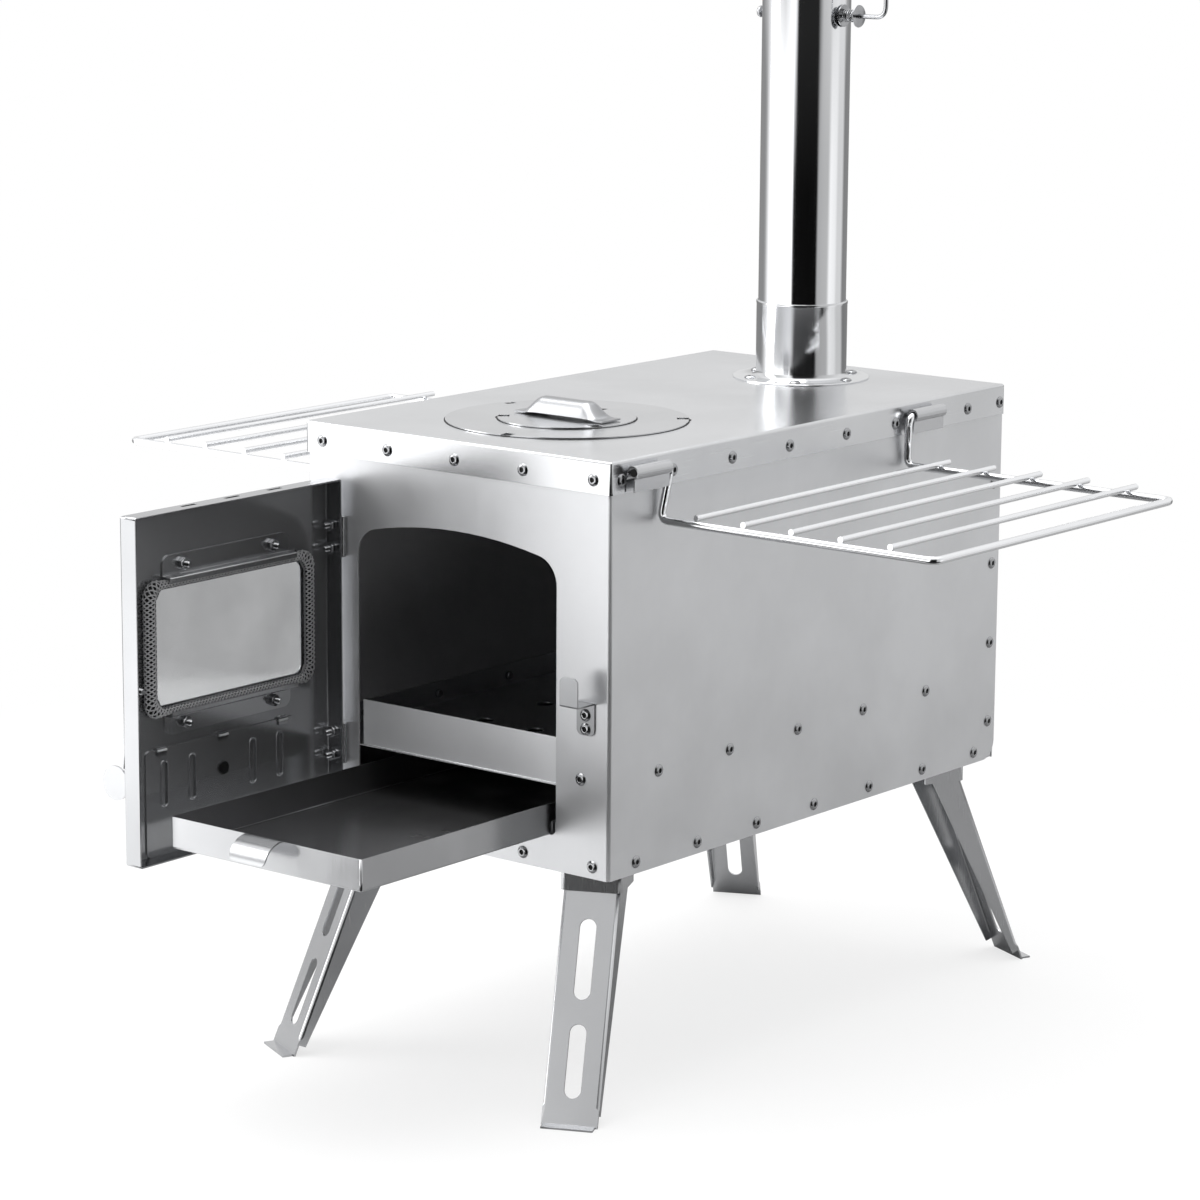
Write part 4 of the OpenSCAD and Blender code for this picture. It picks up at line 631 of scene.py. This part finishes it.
# Drawer pull: a strip curved out and down, with rounded lower corners.
PULL_HALF, PULL_CORNER = 14.7, 4.5
rows = []
for i in range(25):
    a = i / 24
    out, drop = math.sin(a * math.pi / 2), 1 - math.cos(a * math.pi / 2)
    left = 20 * (1 - a)
    half = PULL_HALF
    if left <= PULL_CORNER:
        half = PULL_HALF - PULL_CORNER + math.sqrt(max(0, PULL_CORNER ** 2 - (PULL_CORNER - left) ** 2))
    rows.append([at(half * (j / 6 - 1), -174.4 - 14.1 * out, 42.0 - 12.8 * drop) for j in range(13)])
piece("curved_drawer_pull", surface(rows, 0.9 * MM), "drawer_pull", smooth=60)

# Latch paddle: the pressed rim round its face, placed from the low corner of the lever's box.
paddle = Vector(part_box("latch_lever")[0]) + Vector((10.8, 3.96, 10.8)) * MM
bm = bmesh.new()
tube(bm, [paddle + Vector((u, 0, v)) * MM for u, v in arc(10.1, [7.5 * i for i in range(48)])], 1.4 * MM,
     sides=10, closed=True)
piece("latch_paddle_rim", bm, "latch_lever", replace=False)

# Gasket: a black core inside a braided sleeve, yarns crossing both ways.
gasket_low, gasket_high = (Vector(v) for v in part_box("window_gasket"))
heart = (gasket_low + gasket_high) / 2
outer_y, outer_z = (gasket_high.y - gasket_low.y) / 2, (gasket_high.z - gasket_low.z) / 2
open_y, open_z = outer_y - 10.5 * MM, outer_z - 6.5 * MM
deep = (gasket_high.x - gasket_low.x) / 2


def gasket_route(step):
    """Points round the middle of the gasket as (y, z, outward direction in degrees)."""
    half_y, half_z, r = (outer_y + open_y) / 2, (outer_z + open_z) / 2, 9 * MM
    corners = [(half_y - r, half_z - r, 0), (-half_y + r, half_z - r, 90),
               (-half_y + r, -half_z + r, 180), (half_y - r, -half_z + r, 270)]
    bends = [[(y + u, z + v, a) for a, (u, v) in zip(range(start, start + 91, 10),
                                                     arc(r, range(start, start + 91, 10)))]
             for y, z, start in corners]
    found = []
    for bend, following in zip(bends, bends[1:] + bends[:1]):
        (y0, z0, turn), (y1, z1, _) = bend[-1], following[0]
        count = max(1, int(math.hypot(y1 - y0, z1 - z0) / step))
        found += bend + [(y0 + (y1 - y0) * k / count, z0 + (z1 - z0) * k / count, turn)
                         for k in range(1, count)]
    return found


def across(turn):
    """Outward direction at a turn and the gasket's half width there."""
    out = Vector((0, math.cos(math.radians(turn)), math.sin(math.radians(turn))))
    return out, abs(out.y) * (outer_y - open_y) / 2 + abs(out.z) * (outer_z - open_z) / 2


route = gasket_route(1.0 * MM)
lengths = [0.0]
for a, b in zip(route, route[1:] + route[:1]):
    lengths.append(lengths[-1] + math.hypot(b[0] - a[0], b[1] - a[1]))
YARNS = 5  # each way round
YARN_TURNS = 30  # of one yarn along the whole loop
bm = bmesh.new()
for k in range(YARNS):
    for way in (1, -1):
        points = []
        for (y, z, turn), run in zip(route, lengths):
            out, wide = across(turn)
            twist = math.tau * YARN_TURNS * run / lengths[-1]
            phi = way * twist + math.tau * k / YARNS
            # A yarn passes over one that crosses it and under the next.
            lift = 0.3 * MM * math.cos(YARNS * twist + (0 if way > 0 else math.pi))
            points.append(heart + Vector((0, y, z)) + out * (wide - 0.85 * MM + lift) * math.cos(phi)
                          + X * (deep - 0.85 * MM + lift) * math.sin(phi))
        tube(bm, points, 0.95 * MM, sides=6, closed=True)
piece("gasket_braid", bm, "window_gasket", gasket_yarn)
bm = bmesh.new()
rings = []
for y, z, turn in route:
    out, wide = across(turn)
    ring = bmesh.ops.create_circle(bm, radius=1, segments=12, matrix=Matrix((
        out * (wide - 1.3 * MM), X * (deep - 1.3 * MM), X.cross(out))).transposed().to_4x4())["verts"]
    bmesh.ops.translate(bm, verts=ring, vec=heart + Vector((0, y, z)))
    rings.append(list({e for v in ring for e in v.link_edges}))
for a, b in zip(rings, rings[1:] + rings[:1]):
    bmesh.ops.bridge_loops(bm, edges=a + b)
piece("gasket_inner_core", bm, "window_gasket", gasket_core, replace=False)

# Camera: fitted to the photograph's straight edges.
turn, tilt, roll = math.radians(38.905), math.radians(11.561), math.radians(0.352)
ahead = Vector((-math.sin(turn) * math.cos(tilt), math.cos(turn) * math.cos(tilt), -math.sin(tilt)))
right = ahead.cross(Z).normalized()
up = right.cross(ahead)
right, up = right * math.cos(roll) + up * math.sin(roll), up * math.cos(roll) - right * math.sin(roll)
camera = bpy.data.objects.new("camera", bpy.data.cameras.new("camera"))
camera.data.sensor_width = 36
camera.data.lens = 120.94
camera.data.clip_end = 20
view = Matrix((right, up, -ahead)).transposed().to_4x4()
view.translation = at(1617.2, -1860.1, 664.7)
camera.matrix_world = view
bpy.context.scene.collection.objects.link(camera)
bpy.context.scene.camera = camera

# Floor: a pale disc that keeps the shadow and fades into the white background.
bm = bmesh.new()
bmesh.ops.create_circle(bm, cap_ends=True, radius=1.1, segments=96)
mesh = bpy.data.meshes.new("floor")
bm.to_mesh(mesh)
bm.free()
floor = bpy.data.objects.new("floor", mesh)
bpy.context.scene.collection.objects.link(floor)
mat, tree = blank_material("pale_floor")
place = add(tree, "ShaderNodeTexCoord").outputs["Object"]
reach = add(tree, "ShaderNodeVectorMath", {0: place}, operation="LENGTH").outputs["Value"]
fade = add(tree, "ShaderNodeMapRange", {
    "Value": reach, "From Min": 0.35, "From Max": 1.05, "To Min": 0.7, "To Max": 1.0}).outputs["Result"]
seen = add(tree, "ShaderNodeLightPath").outputs["Is Camera Ray"]
share = add(tree, "ShaderNodeMath", {0: fade, 1: seen}, operation="MULTIPLY").outputs[0]
# What the steel mirrors of it: dark from 0.42 m out to the front right, and dimmer towards the right.
FRONT_RIGHT, RIGHT = (0.643, -0.766, 0), (0.958, 0.287, 0)
outward = add(tree, "ShaderNodeVectorMath", {
    0: place, 1: FRONT_RIGHT}, operation="DOT_PRODUCT").outputs["Value"]
dim = add(tree, "ShaderNodeMapRange", {
    "Value": outward, "From Min": 0.28, "From Max": 0.42, "To Min": 1.0, "To Max": 0.05}).outputs["Result"]
aside = add(tree, "ShaderNodeVectorMath", {0: place, 1: RIGHT}, operation="DOT_PRODUCT").outputs["Value"]
left = add(tree, "ShaderNodeMapRange", {
    "Value": aside, "From Min": -0.45, "From Max": 0.12, "To Min": 0.9, "To Max": 0.34}).outputs["Result"]
dim = add(tree, "ShaderNodeMath", {0: dim, 1: left}, operation="MULTIPLY").outputs[0]
mirrored = add(tree, "ShaderNodeLightPath").outputs["Is Glossy Ray"]
pale = add(tree, "ShaderNodeMix", {"Factor": mirrored, "A": linear("#F2F2F2"), "B": dim}, data_type="RGBA")
matt = add(tree, "ShaderNodeBsdfDiffuse", {"Color": pale.outputs["Result"]}).outputs["BSDF"]
white = add(tree, "ShaderNodeEmission", {"Strength": 1.0}).outputs["Emission"]
both = add(tree, "ShaderNodeMixShader", {0: share, 1: matt, 2: white}).outputs["Shader"]
add(tree, "ShaderNodeOutputMaterial", {"Surface": both})
mesh.materials.append(mat)

# Studio: white behind the stove; round about it soft boxes and dark gaps that the steel mirrors.
# Each pair is a direction, in degrees anticlockwise from the right, and the strength seen there.
LOW_BANDS = [
    (-180, 0.3), (180, 0.3), (-172, 0.4), (-164, 0.8), (-148, 1.7), (-128, 2.0), (-86, 1.9), (-80, 0.004),
    (-20, 0.004), (-15, 0.48), (12, 0.55), (20, 1.1), (38, 1.0), (46, 0.75), (64, 0.75), (74, 0.25)]
HIGH_BANDS = [
    (-180, 1.0), (180, 1.0), (-160, 0.9), (-110, 0.8), (-86, 1.4), (-80, 1.1), (-74, 0.02), (-22, 0.02),
    (-8, 0.6), (60, 0.95), (100, 0.9), (140, 0.84)]
OVERHEAD = 1.25


def grey(v):
    return (v, v, v, 1.0)


def bands(around, values):
    """Ring of greys from pairs of direction and strength."""
    stops = [((a + 180) / 360, grey(v)) for a, v in values]
    return add(tree, "ShaderNodeValToRGB", {"Fac": around}, stops=stops).outputs["Color"]


world = bpy.data.worlds.new("studio")
bpy.context.scene.world = world
world.use_nodes = True
tree = world.node_tree
tree.nodes.clear()
way = add(tree, "ShaderNodeTexCoord").outputs["Generated"]
parts = add(tree, "ShaderNodeSeparateXYZ", {"Vector": way}).outputs
angle = add(tree, "ShaderNodeMath", {0: parts["Y"], 1: parts["X"]}, operation="ARCTAN2").outputs[0]
around = add(tree, "ShaderNodeMapRange", {
    "Value": angle, "From Min": -math.pi, "From Max": math.pi}).outputs["Result"]
low_ring, high_ring = bands(around, LOW_BANDS), bands(around, HIGH_BANDS)
height = add(tree, "ShaderNodeMapRange", {
    "Value": parts["Z"], "From Min": 0.0, "From Max": 0.13}).outputs["Result"]
ring = add(tree, "ShaderNodeMix", {
    "Factor": height, "A": low_ring, "B": high_ring}, data_type="RGBA").outputs["Result"]
steep = add(tree, "ShaderNodeMapRange", {
    "Value": parts["Z"], "From Min": 0.5, "From Max": 0.9}).outputs["Result"]
dome = add(tree, "ShaderNodeMix", {
    "Factor": steep, "A": ring, "B": grey(OVERHEAD)}, data_type="RGBA").outputs["Result"]
room = add(tree, "ShaderNodeBackground", {"Color": dome, "Strength": 1.0}).outputs["Background"]
white = add(tree, "ShaderNodeBackground", {"Strength": 1.0, "Color": grey(1.0)}).outputs["Background"]
path = add(tree, "ShaderNodeLightPath").outputs
direct = add(tree, "ShaderNodeMath", {
    0: path["Is Camera Ray"], 1: path["Is Transmission Ray"]}, operation="MAXIMUM").outputs[0]
both = add(tree, "ShaderNodeMixShader", {0: direct, 1: room, 2: white}).outputs["Shader"]
add(tree, "ShaderNodeOutputWorld", {"Surface": both})


def softbox(name, place, aim, size, power):
    lamp = bpy.data.lights.new(name, "AREA")
    lamp.shape = "RECTANGLE"
    lamp.size, lamp.size_y = size
    lamp.energy = power
    obj = bpy.data.objects.new(name, lamp)
    obj.matrix_world = facing(Vector(place), Vector(place) - Vector(aim))
    bpy.context.scene.collection.objects.link(obj)


softbox("box_over", (-0.4, -0.3, 2.2), (0, 0, 0.2), (1.8, 1.8), 30)
softbox("box_left", (-1.9, -1.3, 1.3), (0, 0, 0.3), (1.2, 1.4), 20)

bpy.context.scene.view_settings.view_transform = "Standard"
